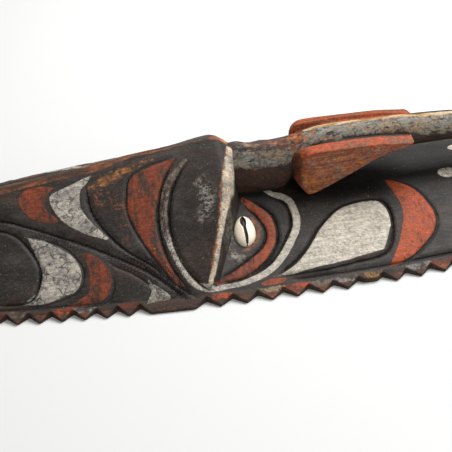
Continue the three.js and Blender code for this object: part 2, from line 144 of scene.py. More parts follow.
class MaskColours(bpy.types.PropertyGroup):
    """Colours of the wood, the paint, the wear and the shells, with the painted shade of the cowrie
    mouths.
    """

    black: colour("Black paint", "Dark ground of the whole mask", 39, 35, 32)
    charcoal: colour("Charcoal", "Rubbed parts of the black paint", 70, 66, 62)
    umber: colour("Umber", "Bare wood darkened by age", 70, 50, 38)
    bare: colour("Bare wood", "Wood of the hollow back", 112, 84, 60)
    red: colour("Red ochre", "Red paint", 182, 80, 36)
    dark_red: colour("Dark red", "Old or shaded red paint", 112, 54, 35)
    white: colour("White clay", "White paint", 212, 205, 190)
    grey: colour("Grey clay", "Thin white paint over black", 150, 146, 140)
    clay: colour("Nose clay", "Greenish grey paint of the nose", 148, 147, 138)
    gold: colour("Golden wear", "Rubbed wood that shines through", 176, 132, 66)
    rust: colour("Rust wear", "Red brown wood under the paint", 142, 84, 52)
    orange: colour("Orange wear", "Freshly worn wood", 196, 116, 60)
    sand: colour("Sand", "Cream brown of rubbed paint on the teeth", 158, 136, 110)
    stone: colour("Stone", "Grey brown of rubbed paint on the teeth", 118, 106, 94)
    stripe: colour("Brow stripe", "Dull light paint along the brow crest", 210, 195, 172)
    blue: colour("Blue black", "Bluish dark streaks on the nose", 62, 66, 70)
    rose: colour("Rose wear", "Dusty rubbed red", 150, 98, 84)
    beige: colour("Beige wear", "Paint rubbed to the bare wood on top of the nose", 216, 190, 152)
    shell: colour("Shell", "Ivory of the cowries", 240, 230, 208)
    # Painted shade: this dark stands for the shade inside the cowrie slit
    slit: colour("Shell mouth", "Dark inside of the cowrie mouth", 34, 20, 12)


class MaskStage(bpy.types.PropertyGroup):
    """Studio round the mask."""

    floor: colour("Floor", "Pale surface that the mask lies on", 224, 225, 223)
    floor_side: length("Floor side", "Side of the floor", 9000)
    lens: length("Focal length", "Focal length of the camera", 79.65)
    azimuth: angle("Azimuth", "Camera direction round the mask", -10.5)
    elevation: angle("Elevation", "Camera direction above the floor", 37)
    roll: angle("Roll", "Turn of the camera about its own axis", 1.5)
    key_strength: number("Key strength", "Power of the large soft light, in watts", 28)
    fill_strength: number("Fill strength", "Power of the soft light in front, in watts", 7)
    sky_strength: number("Sky strength", "Brightness of the light from all round", 0.17)


def in_millimetres(group):
    """Values of a property group by name, with its lengths in millimetres."""
    values = {}
    for key, kind in group.bl_rna.properties.items():
        if kind.type == "FLOAT" and not kind.is_array:
            values[key] = getattr(group, key) / (MM if kind.unit == "LENGTH" else 1)
    return SimpleNamespace(**values)


# Plan curves, in millimetres: along the mask from the brow, and across from its middle

CARVED_LINES = {
    "brow fold": [(-30, 82.5), (-10, 81), (11, 73), (20, 64.8), (27.5, 55.2), (33, 46), (35.2, 35),
                  (34, 25), (22, 12)],
    "socket ring": [(-24, 81.8), (-7.5, 79.9), (8.6, 71.2), (19.6, 59.2), (23.4, 46.5), (22, 31.5),
                    (9, 14.5)],
    "socket": [(-26, 79.5), (-12, 71.6), (1.5, 64.1), (9.5, 58), (14.2, 49.4), (13.8, 39),
               (9.6, 27.8), (3, 20)],
    "upper band": [(-330, 11), (-250, 12), (-168, 23), (-149, 31), (-126, 42.6), (-99, 56.8),
                   (-72, 72.7), (-48, 93)],
    "lower band": [(-107, 10), (-107, 20.5), (-105.5, 31), (-94.5, 48.4), (-84.4, 58.5),
                   (-71.3, 68), (-58.8, 79.6), (-42, 92)],
    "disc": [(-215, 33), (-180, 27), (-160.5, 33.3), (-148, 49.6), (-145.4, 58.5), (-152.4, 73.7),
             (-180, 73)],
    "cheek drop": [(14, 84.5), (37.5, 68.5), (53, 50.6), (74, 34.5), (92, 31.5), (105, 34),
                   (108, 49), (96.5, 77), (70, 82.5), (42, 84.8), (14, 84.5)],
}
FINE_LINES = {
    "red forehead arc": [(-44, 7), (-60, 8.5), (-76.5, 14), (-80.8, 26), (-81.6, 36), (-77.8, 48),
                         (-72.3, 59), (-65.5, 69.8), (-54.8, 83.4)],
    "white forehead": [(-152.4, 36.3), (-131.7, 45.4), (-121, 55), (-116.6, 63.5), (-118.6, 71.8),
                       (-126.6, 76.4), (-138.5, 78.4), (-162.5, 77.6)],
    "dark field": [(-100.6, 60.7), (-95.4, 64.9), (-86.4, 69.6), (-77.8, 75.8), (-72.8, 80.7),
                   (-74.9, 84.3), (-79.9, 87.4)],
    "red drop": [(-124, 84.2), (-114.3, 84.6), (-102.5, 83.4), (-97.6, 76), (-97.8, 68)],
    "red cheek arc": [(112, 13), (122, 17), (132, 26), (138, 38), (141, 54), (136, 66.5),
                      (125.6, 76), (113.4, 84.3), (94.4, 91.4)],
    "mouth": [(218, 0), (222, 22), (236, 43), (246, 22), (251, 0)],
}
RED_SHAPES = [
    [[(-128.9, 9.3), (-139.7, 5.7), (-150.2, 6.5), (-154.4, 11.9), (-151.8, 21), (-145.4, 27.8),
      (-129.3, 33.6)],
     [(-129.3, 33.6), (-129.7, 30.9), (-136.6, 22.9), (-135.7, 16), (-132.2, 11.6), (-128.9, 9.3)]],
    [[(-42.5, 8.5), (-60, 10), (-75.2, 14.7), (-79.4, 26.2), (-80.3, 35.2), (-76.6, 47.2),
      (-71.2, 57.9), (-64.5, 68.6), (-54.2, 82.5), (-49.9, 83.2)],
     [(-49.9, 83.2), (-54.8, 75.7), (-57.5, 68.7), (-60.2, 61.5), (-62.1, 54.4), (-63, 46),
      (-62.2, 39.1), (-57.4, 29.9), (-52.5, 22), (-42.5, 8.5)]],
    [[(5, 12.5), (13, 20.5), (20.4, 31.6), (22, 46.9), (18.3, 58.5), (7.9, 70.3), (-7.7, 79.2),
      (-21.7, 82.7), (-30.3, 84.1)],
     [(-30.3, 84.1), (-26.4, 81.2), (-11.3, 72.7), (2.2, 65.2), (10.5, 58.8), (15.6, 49.6),
      (15.1, 39), (9.8, 28.5), (3, 16)]],
    [[(113, 15), (121, 17), (131, 26), (137, 38), (139.4, 54), (134.7, 65.7), (124.8, 74.8),
      (112.6, 83.2), (94.4, 90.4)],
     [(93.1, 90.3), (97.3, 85.3), (104.6, 74.9), (111.3, 62.3), (116.5, 50.4), (118, 41), (116, 28),
      (113, 15)]],
    [[(-117.1, 53.7), (-109.6, 55.8), (-101.2, 63.9), (-98.5, 68.4), (-99.9, 76.3), (-104.3, 82),
      (-114.3, 83.5), (-128, 84.6), (-141.5, 87.4)],
     [(-141.5, 87.4), (-134.6, 83.2), (-121.4, 79.9), (-115.1, 77), (-113.1, 70.9), (-113.4, 60.9),
      (-117.1, 53.7)]],
    [[(0.8, 88), (10, 85.5), (20, 87.3), (18, 89.7), (3, 89.6), (0.8, 88)]],
    [[(-258, 22), (-272, 29), (-281, 40), (-279, 50), (-264, 58)],
     [(-264, 58), (-270, 48), (-269, 39), (-258, 22)]],
    [[(-344, 0), (-348, 12), (-358, 20)], [(-358, 20), (-357, 10), (-354, 0)]],
    [[(226, 0), (229, 18), (236, 32), (241, 18), (243, 0)]],
    [[(296, 34), (314, 27), (326, 14), (330, 0)], [(338, 0), (334, 18), (318, 35), (296, 34)]],
]
WHITE_SHAPES = [
    [[(-100.9, 6.3), (-107.1, 7.4), (-122.5, 11.6), (-132.7, 15.3), (-132.1, 22.4), (-125.6, 33),
      (-115.2, 41.4), (-97.7, 50.3)],
     [(-97.7, 50.3), (-96.6, 48.6), (-102.2, 42.6), (-107.1, 36.6), (-112.3, 27.7), (-111.3, 16.3),
      (-108.6, 13.3), (-100.9, 6.3)]],
    [[(-151.7, 37), (-141.3, 40.3), (-132.1, 47.1), (-123, 53.8), (-118.5, 61.9), (-119, 69.1),
      (-123.4, 74.3), (-132.3, 76.3), (-146.8, 77.9), (-162.1, 75.8)],
     [(-162.1, 75.8), (-153.1, 72.7), (-146.7, 67.8), (-144.1, 59.8), (-146.9, 49.3), (-151.7, 37)]],
    [[(-74.2, 75.2), (-71.5, 79.2), (-68, 81.4), (-61.3, 87.1)], [(-60.6, 88.8), (-78.4, 89.9)],
     [(-73.5, 84.4), (-73.1, 82.2), (-75, 77.1)]],
    [[(11.4, 83.9), (18.4, 82.6), (29.9, 77.3), (38.8, 69.3), (46.3, 60.6), (54, 51.6),
      (63.5, 42.5), (73, 36.5), (90, 33.5)],
     [(90, 33.5), (101, 34.5), (105, 40), (106.1, 48.8), (105, 56.6)], [(99, 68), (94, 76)],
     [(92.9, 76), (63.2, 80.5), (41.8, 82.4), (25.9, 84.1), (11.4, 83.9)]],
    [[(-236, 26), (-250, 32), (-261, 42), (-264, 50), (-258, 56), (-238, 60)],
     [(-238, 60), (-246, 52), (-247, 43), (-243, 33), (-236, 26)]],
    [[(-318, 0), (-322, 14), (-334, 26), (-352, 33)], [(-352, 33), (-342, 22), (-330, 12), (-327, 0)]],
]
FAR_PATCH_SHIFT = 20
NOSTRIL_PATCH = [[(155, 15), (157.5, 12), (164, 11), (168, 12), (167, 18), (163, 21), (157, 19),
                  (155, 15)]]
# White bands as a middle line and the half width at points spread evenly along it
WHITE_BANDS = [
    ([(-35.3, 12), (-43.2, 17.6), (-49.2, 22.5), (-53.8, 30.6), (-56.6, 38.7), (-57.3, 47),
      (-56.2, 54.1), (-54.7, 60.4), (-52.7, 66.8), (-49.5, 73.9), (-45.2, 81.1), (-39.5, 85.2),
      (-32.5, 87.1), (-20.7, 85.7), (-8.9, 84.8), (1.8, 82), (13.2, 76.5), (23, 67.7), (31.1, 57.6),
      (36.7, 48.7), (39.3, 38.3), (39.2, 30.4), (37.6, 22.9), (32.7, 17.1), (27.3, 13.6), (22.3, 8.1)],
     [1.0, 2.1, 2.4, 2.4, 2.4, 2.2, 2.0, 2.4, 2.5, 2.7, 2.9, 2.8, 2.6, 2.8, 1.6]),
    ([(222, 0), (226, 20), (236, 38), (244, 20), (247, 0)], [1.6, 1.8, 2.4, 1.8, 1.6]),
]
GOLD_BANDS = [
    ([(-106, 15), (-94, 12.5), (-82, 9), (-70, 6.5), (-58, 4.9)], [1.0, 3.4, 3.4, 1.8, 0.5]),
]
BROWN_BANDS = [
    ([(-104, 22), (-92, 24), (-84, 38), (-86, 50)], [3.0, 7.0, 5.0, 1.0]),
]
HALO_BAND = ([(7, 31), (10, 42), (8, 50), (2.3, 57), (-4, 60)], [0.6, 1.4, 1.8, 2.2, 1.2])
SCUFF_BANDS = [
    ([(-28, 27), (-25, 38), (-31, 49)], [2.5, 5.5, 3.0]),
    ([(-8.4, 40.5), (-11.7, 51.2), (-14, 61), (-9, 65), (-1, 64)], [0.8, 1.6, 2.2, 2.6, 1.2]),
    ([(120, 30), (124, 60)], [0.5, 0.5]),
]
# Light stripe along the brow crest: its two edges past the crest, by the distance from the middle
STRIPE_START = [(0, -2.7), (20, -2), (36, -1.1), (49, 0), (66, 0), (83, -2)]
STRIPE_END = [(0, 0.5), (8, 3.1), (20, 5.6), (27, 6.5), (41, 5.5), (52, 4.5), (65, 3.5), (75, 2.6),
              (83, 1.2)]
# Lower edge of the brown wear of the ridge, on the side of the near rim below zero
FAR_WEAR = 14
FAR_WEAR_END = -90
RIDGE_WEAR = [(-400, -4), (-97, -4), (-73, 1.5), (-26, 2), (-8, 0)]
# Paint of the rim, tooth by tooth, outwards from the plain tab
FOREHEAD_TEETH = ["dark_red", "black", "grey", "red", "umber", "stone"]
FACE_TEETH = ["red", "umber", "sand", "red", "stone", "grey", "gold", "black", "grey", "dark_red"]

NOSE_CREST = [(-8, 65.8), (3, 67.6), (13, 65), (28, 65.3), (45, 67), (54, 68.8), (66, 71.2),
              (100, 72), (160, 70.8), (205, 65.8), (245, 52.8), (280, 34.8), (312, 19.8)]
NOSE_UNDER = [(-8, 20.8), (36, 22.8), (46, 36.8), (60, 44.8), (110, 46.8), (165, 48.8), (205, 44.8),
              (240, 31.8), (272, 13.8), (295, 5.8), (312, 4.8)]
NOSE_HALF_WIDTH = [(-8, 10), (15, 12), (50, 13), (130, 12), (210, 11), (285, 9), (312, 5)]
WING_TOP = [(47, 61.3), (53, 64.8), (75, 65.3), (105, 65), (131, 62.6)]
WING_SHOULDER = [(47, 61.8), (53, 65.6), (75, 67.4), (105, 67.1), (131, 64.2)]
WING_INNER_TOP = [(47, 50), (53, 57.5), (66, 63.8), (105, 64.3), (131, 62.4)]
WING_UNDER = [(47, 34.8), (53, 29.3), (66, 33.8), (90, 45.3), (106, 53.3), (131, 60.3)]


# Curves

# Distances from an edge or a path are only told apart up to this far
FAR = 12.0
TINY = 0.01
SAME_PLACE = 1e-6
ARC_POINTS = 40


def smooth_step(start, end, value):
    share = np.clip((value - start) / (end - start), 0, 1)
    return share * share * (3 - 2 * share)


def through(pairs, position):
    """Straight lines through a few (position, value) pairs."""
    return np.interp(position, *zip(*pairs))


def height_through(pairs, position):
    """Smooth height through a few (position, height) pairs."""
    places, heights = np.array(pairs, float).T
    before = np.maximum(np.arange(len(pairs)) - 1, 0)
    after = np.minimum(np.arange(len(pairs)) + 1, len(pairs) - 1)
    slopes = (heights[after] - heights[before]) / (places[after] - places[before])
    position = np.clip(position, places[0], places[-1])
    i = np.clip(np.searchsorted(places, position, side="right") - 1, 0, len(pairs) - 2)
    run = places[i + 1] - places[i]
    t = (position - places[i]) / run
    start = (2 * t**3 - 3 * t**2 + 1) * heights[i] + (t**3 - 2 * t**2 + t) * run * slopes[i]
    end = (3 * t**2 - 2 * t**3) * heights[i + 1] + (t**3 - t**2) * run * slopes[i + 1]
    return start + end


def between(knots, spot, points, reach):
    """Blends each point into the next one, by where a spot lies between knots a reach apart."""
    return [((end - spot) * low + (spot - start) * high) / (end - start)
            for start, end, low, high in zip(knots, knots[reach:], points, points[1:])]


def spline(points, spacing=1.5):
    """Points about a spacing apart along a smooth curve through the given points."""
    given = np.array(points, float)
    given = np.vstack([2 * given[0] - given[1], given, 2 * given[-1] - given[-2]])
    path = []
    for p0, p1, p2, p3 in zip(given, given[1:], given[2:], given[3:]):
        steps = [float(np.linalg.norm(step)) for step in (p1 - p0, p2 - p1, p3 - p2)]
        knots = np.cumsum([0, *np.sqrt(steps)])
        count = max(2, round(steps[1] / spacing))
        spot = np.linspace(knots[1], knots[2], count, endpoint=False)[:, None]
        points = between(knots, spot, between(knots, spot, [p0, p1, p2, p3], 1), 2)
        path += between(knots[1:-1], spot, points, 1)
    return np.vstack(path + [given[-2:-1]])


def arc(s, radius, start, end):
    """Plan points on a circle round the lid, between two angles in degrees."""
    turns = np.radians(np.linspace(start, end, ARC_POINTS))
    return np.stack([s.lid_along + radius * np.cos(turns), s.lid_across + radius * np.sin(turns)], 1)


def distance_to_path(x, a, path):
    """Distance of plan points from a path, the share of it passed at the nearest place, and the side."""
    nearest = np.full(x.shape, np.inf)
    passed = np.zeros(x.shape)
    side = np.ones(x.shape)
    count = len(path) - 1
    for i in range(count):
        px, pa = path[i]
        dx, da = path[i + 1] - path[i]
        t = np.clip(((x - px) * dx + (a - pa) * da) / (dx * dx + da * da), 0, 1)
        gap = np.hypot(x - px - t * dx, a - pa - t * da)
        closer = gap < nearest
        nearest = np.where(closer, gap, nearest)
        passed = np.where(closer, (i + t) / count, passed)
        side = np.where(closer, np.sign(dx * (a - pa) - da * (x - px)), side)
    return nearest, passed, side


def near_path(x, a, path):
    """Which plan points are in reach of a path."""
    low = path.min(0) - FAR
    high = path.max(0) + FAR
    return (x > low[0]) & (x < high[0]) & (a > low[1]) & (a < high[1])


def inside_path(x, a, path):
    """Which plan points lie inside a closed path."""
    inside = np.zeros(x.shape, bool)
    for (px, pa), (qx, qa) in zip(path, path[1:]):
        if pa != qa:
            inside ^= ((pa > a) != (qa > a)) & (x < (qx - px) * (a - pa) / (qa - pa) + px)
    return inside


def distance_inside(x, a, curves):
    """Distance of plan points inside an outline made of curves, below zero outside it."""
    pieces = [spline(curve) if len(curve) > 2 else np.array(curve, float) for curve in curves]
    path = np.vstack(pieces + [pieces[0][:1]])
    path = path[np.append(True, np.abs(np.diff(path, axis=0)).sum(1) > SAME_PLACE)]
    result = np.full(x.shape, -FAR)
    close = near_path(x, a, path)
    gap = distance_to_path(x[close], a[close], path)[0]
    inside = inside_path(x[close], a[close], path)
    result[close] = np.clip(np.where(inside, gap, -gap), -FAR, FAR)
    return result


def distance_inside_band(x, a, points, half_widths):
    """Distance of plan points inside a band along a curve, below zero outside it."""
    path = spline(points)
    result = np.full(x.shape, -FAR)
    close = near_path(x, a, path)
    gap, passed, _ = distance_to_path(x[close], a[close], path)
    half = np.interp(passed, np.linspace(0, 1, len(half_widths)), half_widths)
    result[close] = np.clip(half - gap, -FAR, FAR)
    return result


def inside_oval(x, y, oval):
    """Distance of places inside an oval, given as its middle, its two stretches and its radius."""
    middle_x, middle_y, stretch_x, stretch_y, radius = oval
    return radius - np.hypot((x - middle_x) / stretch_x, (y - middle_y) / stretch_y)


def inside_any(x, a, shapes, bands=()):
    """Distance of plan points inside the nearest of some shapes and bands."""
    fields = [distance_inside(x, a, shape) for shape in shapes]
    return np.max(fields + [distance_inside_band(x, a, *band) for band in bands], 0)


# Carved surface, as heights over plan points

OUTLINE_FULLNESS = 0.55
FLANK_POWER = 1.08
LID_POWER = 2
CHEEK_POWER = 1.5
BEVEL_SLOPE = 0.9
BEVEL_LEAST = 0.35
BEVEL_WIDENS = (4, 24)
WALL_SLOPE = 8
END_DROP = 0.94
END_POWER = 10


def end_share(s, x, inset=0.0):
    reach = np.where(x < s.widest, s.top_reach, s.chin_reach)
    return np.minimum(np.abs(x - s.widest) / (reach - inset), 1)


def tip_half_width(s, x):
    return s.half_width * (1 - end_share(s, x) ** 2) ** OUTLINE_FULLNESS


def notch_half_width(s, x):
    tip = tip_half_width(s, x)
    return tip - s.tooth_depth * (1 - np.exp(-tip / (2 * s.tooth_depth)))


def end_taper(s, x):
    return np.sqrt(1 - END_DROP * end_share(s, x) ** END_POWER)


def inside_lid(s, x, a):
    share = np.hypot(x - s.lid_along, a - s.lid_across) / s.lid_radius
    return np.maximum(1 - share**2, 0)


def forehead_height(s, x, a):
    dip = s.ridge_dip * smooth_step(-s.ridge_tip, 0, x)
    ridge = s.ridge_height - s.ridge_slope * np.maximum(-s.ridge_tip - x, 0) - dip
    soft = s.ridge_rounding
    half = np.maximum(np.hypot(notch_half_width(s, x), soft) - soft, TINY)
    share = np.clip((np.hypot(a, soft) - soft) / half, 0, 1)
    return s.rim_height + (ridge - s.rim_height) * end_taper(s, x) * (1 - share**FLANK_POWER)


def lid_height(s, x, a):
    return forehead_height(s, x, a) + s.lid_swell * inside_lid(s, x, a) ** LID_POWER


def face_height(s, x, a):
    centre = s.face_height - s.face_fall * smooth_step(s.face_fall_start, s.chin_reach, x)
    share = np.clip(a / np.maximum(notch_half_width(s, x), TINY), 0, 1)
    cheek = (centre - s.rim_height) * end_taper(s, x) * (1 - share**CHEEK_POWER)
    return s.rim_height + cheek - s.socket_dish * inside_lid(s, x, a)


def past_crest(s, x, a):
    """How far along the mask a plan point is past the brow crest."""
    return x + s.brow_sweep * a


def bevel_width(s, a):
    """Width of the bevel below the crest, narrow beside the nose."""
    return s.bevel_run * (BEVEL_LEAST + (1 - BEVEL_LEAST) * smooth_step(*BEVEL_WIDENS, a))


def surface_height(s, x, a):
    past = past_crest(s, x, a)
    crest = lid_height(s, -s.brow_sweep * a, a)
    bevel = BEVEL_SLOPE * np.clip(past, 0, bevel_width(s, a))
    wall = WALL_SLOPE * np.maximum(past - bevel_width(s, a), 0)
    stepped = np.maximum(face_height(s, x, a), crest - bevel - wall)
    return np.where(past <= 0, lid_height(s, x, a), stepped)


# Serrated rim

# Rise of a tooth's side for a length along the rim, at the pitch it was measured at
NOTCH_SLOPE = 0.917
SLOPE_PITCH = 15
LEAST_TOOTH = 0.35
CHIP_SLOPE = 0.06
NOTCH_PROBE = 1.0
TOOTH_PROBE = 0.5


def tab_middle(s):
    return (s.tab_start + s.tab_end) / 2


def rim_slope(s, x, reach):
    """Slope of the notch line at a place, taken a short reach to both sides."""
    return (notch_half_width(s, x + reach) - notch_half_width(s, x - reach)) / (2 * reach)


def notch_places(s):
    """Notches along the rim from the top to the chin."""
    places = []
    ways = ((s.tab_start, -s.forehead_pitch, s.top_reach), (s.tab_end, s.face_pitch, s.chin_reach))
    for x, pitch, reach in ways:
        end = s.widest + math.copysign(reach, pitch)
        while abs(end - x) > s.plain_end:
            places.append(x)
            x += pitch / math.hypot(1, float(rim_slope(s, np.array(x), NOTCH_PROBE)))
    return np.array(sorted(places))


def tooth_reach(s, x, notches, near_side):
    """How far the rim stands out past the notch line at places along it."""
    gap = np.abs(x[:, None] - notches[None, :])
    pitch = np.where(notches[gap.argmin(1)] < tab_middle(s), s.forehead_pitch, s.face_pitch)
    rise = gap.min(1) * NOTCH_SLOPE * SLOPE_PITCH / pitch
    line = tip_half_width(s, x) - notch_half_width(s, x)
    reach = np.minimum(np.maximum(rise, LEAST_TOOTH), line)
    beyond = (x < notches[0]) | (x > notches[-1])
    reach = np.where(beyond, np.maximum(reach, LEAST_TOOTH * line / s.tooth_depth), reach)
    if near_side:
        past = x - s.chipped_tooth
        chipped = np.minimum(reach, s.chipped_depth + CHIP_SLOPE * past)
        reach = np.where(np.abs(past) < s.face_pitch / 2, chipped, reach)
    return reach


# Body mesh

FINE_STEP = 1.3
COARSE_STEP = 3.2
FINE_END = 186
ACROSS_STEPS = 78
TOOTH_STEPS = 4
END_RINGS = 16
END_TURN = 0.985 * math.pi / 2
# Station lines follow the swept crest near the brow and run straight across far from it
SWEEP_IN = (-150, -72)
SWEEP_OUT = (30, 120)
SWEPT_END = 190
SCAN = np.linspace(-200, 200, 4001)
BEVEL_STATIONS = (0, 1.2, 2.5, 3.8)
WALL_FOOT = 9.5
WALL_STATIONS = (5.9, 6.8, 7.7, 8.6, WALL_FOOT)
STATION_GAP = 0.4
WARP_END = 25
LEAST_RUN = 0.3
SETTLE_ROUNDS = 30
MARKS_FADE = (0.93, 1)
BACK_SHARES = (0.9, 0.62, 0.3)
# Carved lines: angles round the lid, or places along the rim and how far inside it, and the weight
LID_LINES = [("ring_radius", -130, -223, 1.0), ("lid_radius", -124, -240, 1.25)]
RIM_LINES = [(22, 330, 4.2, 0.9), (-330, -88, 1.8, 0.6), (-82, -44, 0.8, 0.4)]
RIM_LINE_POINTS = 120
FINE_WEIGHT = 0.55
CUT_HALF = 0.68
CUT_FADE = 9
CUT_REACH = 3
CUSHION_RISE = 0.8
CUSHION_EDGE = 4
# Tool marks: their size along, across and up, and their height
TOOL_MARKS = [((26, 13, 20), 0.4), ((9, 4.5, 8), 0.16)]


def along_at(s, station, a):
    """Place along the mask of a station line at a distance from the middle."""
    crest = lid_height(s, -s.brow_sweep * a, a)
    drop = np.maximum(crest - face_height(s, -s.brow_sweep * a + s.bevel_run, a), 0)
    bevel = np.clip(drop / BEVEL_SLOPE, LEAST_RUN, bevel_width(s, a))
    foot = bevel + np.maximum((drop - BEVEL_SLOPE * bevel) / WALL_SLOPE, LEAST_RUN)
    down = bevel + (station - s.bevel_run) / (WALL_FOOT - s.bevel_run) * (foot - bevel)
    past = np.where(station <= s.bevel_run, station / s.bevel_run * bevel, down)
    beyond = foot + (station - WALL_FOOT) / (WARP_END - WALL_FOOT) * (WARP_END - foot)
    past = np.where(station > WALL_FOOT, beyond, past)
    past = np.where((station <= 0) | (station >= WARP_END), station, past)
    swept = smooth_step(*SWEEP_IN, station) * (1 - smooth_step(*SWEEP_OUT, station))
    return past - s.brow_sweep * swept * a


def settled(s, station, half_width):
    """Distance from the middle where a station line meets the rim."""
    a = half_width(s, station)
    for _ in range(SETTLE_ROUNDS):
        a = (a + half_width(s, along_at(s, station, a))) / 2
    return a


def end_stations(s, stop, reach):
    """Station lines between an end of the mask and the teeth, closer towards the end."""
    turn = math.asin((stop - s.widest) / reach)
    turns = np.linspace(math.copysign(END_TURN, turn), turn, END_RINGS, endpoint=False)
    return s.widest + reach * np.sin(turns)


def body_stations(s, notches):
    """Station lines, so placed that every notch and tooth tip has one."""
    stops = []
    for left, right in zip(notches, notches[1:]):
        step = FINE_STEP if left > -FINE_END and right < FINE_END else COARSE_STEP
        count = 2 * max(3, round((right - left) / step / 2))
        stops.extend(np.linspace(left, right, count, endpoint=False))
    stops = np.array(stops + [notches[-1]])
    rim = along_at(s, SCAN, settled(s, SCAN, notch_half_width))
    stations = np.where(np.abs(stops) < SWEPT_END, np.interp(stops, rim, SCAN), stops)
    stations = stations[(stations < -STATION_GAP) | (stations > WALL_FOOT + STATION_GAP)]
    return np.sort(np.concatenate([
        end_stations(s, stops[0], s.top_reach), stations, BEVEL_STATIONS, [s.bevel_run],
        WALL_STATIONS, end_stations(s, stops[-1], s.chin_reach)]))


def rim_line(s, start, end, inset):
    """Line that follows the notches of the rim."""
    x = np.linspace(start, end, RIM_LINE_POINTS)
    return np.stack([x, notch_half_width(s, x) - inset], 1)


def carved_lines(s):
    """Paths of the carved lines with a share of the full width and depth."""
    lines = [(arc(s, getattr(s, radius), *turns), weight) for radius, *turns, weight in LID_LINES]
    lines += [(rim_line(s, *places), weight) for *places, weight in RIM_LINES]
    lines += [(spline(points), 1.0) for points in CARVED_LINES.values()]
    lines += [(spline(points), FINE_WEIGHT) for points in FINE_LINES.values()]
    return lines


def line_cut(s, x, a):
    """Depth of the carved lines at plan points, and signed distance and weight of the nearest line."""
    depth = np.zeros(x.shape)
    nearest = np.full(x.shape, FAR)
    signed = np.full(x.shape, FAR)
    strength = np.zeros(x.shape)
    half = s.line_width * CUT_HALF
    for path, weight in carved_lines(s):
        close = near_path(x, a, path)
        gap, passed, side = distance_to_path(x[close], a[close], path)
        total = np.hypot(*np.diff(path, axis=0).T).sum()
        fade = np.clip(np.minimum(passed, 1 - passed) * total / CUT_FADE, 0, 1)
        round_cut = (1 + np.cos(math.pi * np.clip(gap / half, 0, 1))) / 2
        depth[close] = np.maximum(depth[close], s.line_depth * weight * fade * round_cut)
        first = gap < nearest[close]
        nearest[close] = np.where(first, gap, nearest[close])
        signed[close] = np.where(first, gap * side, signed[close])
        strength[close] = np.where(first, weight * fade * (gap < CUT_REACH), strength[close])
    return depth, signed, strength


def cushion(x, a):
    """Rounded swell of the band between the two long forehead lines."""
    upper = spline(CARVED_LINES["upper band"])
    lower = spline(CARVED_LINES["lower band"])
    band = np.vstack([upper, lower[::-1], upper[:1]])
    share = np.clip(distance_to_path(x, a, band)[0] / CUSHION_EDGE, 0, 1)
    return np.where(inside_path(x, a, band), CUSHION_RISE * (1 - (1 - share) ** 2), 0)


def tool_marks(x, y, z):
    """Small unevenness of hand carving, in millimetres."""
    places = np.stack([x.ravel(), y.ravel(), z.ravel()], 1)
    marks = np.zeros(x.size)
    for layer, (size, height) in enumerate(TOOL_MARKS, 1):
        spots = places / size + (0, 0, layer * RANDOM_SEED)
        marks += [height * noise.noise(Vector(spot)) for spot in spots]
    return marks.reshape(x.shape)


def tooth_rows(s, side, notch, rim_x, notches):
    """Points out over the teeth of one side, and down to their flat back."""
    toothed = (rim_x >= notches[0]) & (rim_x <= notches[-1])
    slope = rim_slope(s, rim_x, TOOTH_PROBE)
    normal = np.stack([-slope * toothed, np.ones_like(slope)], 1)
    normal /= np.linalg.norm(normal, axis=1)[:, None]
    reach = tooth_reach(s, rim_x, notches, side < 0)
    depth = np.maximum(tip_half_width(s, rim_x) - notch_half_width(s, rim_x), 1)
    rows = []
    for step in range(1, TOOTH_STEPS + 1):
        out = reach * step / TOOTH_STEPS
        height = s.rim_height - (s.rim_height - s.tip_height) * out / depth
        across = side * (notch + normal[:, 1] * out)
        rows.append(np.stack([rim_x + normal[:, 0] * out, across, height], 1))
    rows.append(rows[-1] * (1, 1, 0))
    return np.stack(rows, 1)


def back_rows(s, stations, edge):
    """Points on the flat back, at shares of the way out to its edge."""
    flat = np.zeros(len(stations))
    rows = [np.stack([along_at(s, stations, np.abs(share * edge)), share * edge, flat], 1)
            for share in BACK_SHARES]
    return np.stack(rows, 1)


def body_rings(s):
    """Closed rings of points round the plate, from the top to the chin, in millimetres."""
    notches = notch_places(s)
    stations = body_stations(s, notches)
    notch = settled(s, stations, notch_half_width)
    rim_x = along_at(s, stations, notch)
    shares = np.linspace(0, 1, ACROSS_STEPS + 1)
    a = notch[:, None] * shares[None, :]
    x = along_at(s, stations[:, None], a)
    rise = surface_height(s, x, a) + cushion(x, a) - line_cut(s, x, a)[0]
    fade = 1 - smooth_step(*MARKS_FADE, shares)[None, :]
    tops, teeth, backs = {}, {}, {}
    for side in (-1, 1):
        tops[side] = np.stack([x, side * a, rise + tool_marks(x, side * a, rise) * fade], 2)
        teeth[side] = tooth_rows(s, side, notch, rim_x, notches)
        backs[side] = back_rows(s, stations, teeth[side][:, -1, 1])
    middle = along_at(s, stations, 0 * stations)[:, None, None] * (1, 0, 0)
    return np.concatenate([teeth[-1][:, ::-1], tops[-1][:, :0:-1], tops[1], teeth[1],
                           backs[1], middle, backs[-1][:, ::-1]], 1)


# Hollow back

HOLLOW_RINGS = 72
HOLLOW_POINTS = 41
HOLLOW_TURN = 0.495 * math.pi
HOLLOW_STEP = (-48, -10)
HOLLOW_END_POWER = 0.4
HOLLOW_POWER = 1.3
HOLLOW_MARKS = (18, 9, 0.5)
HOLLOW_LAYER = 5.0
HOLLOW_BELOW = 6


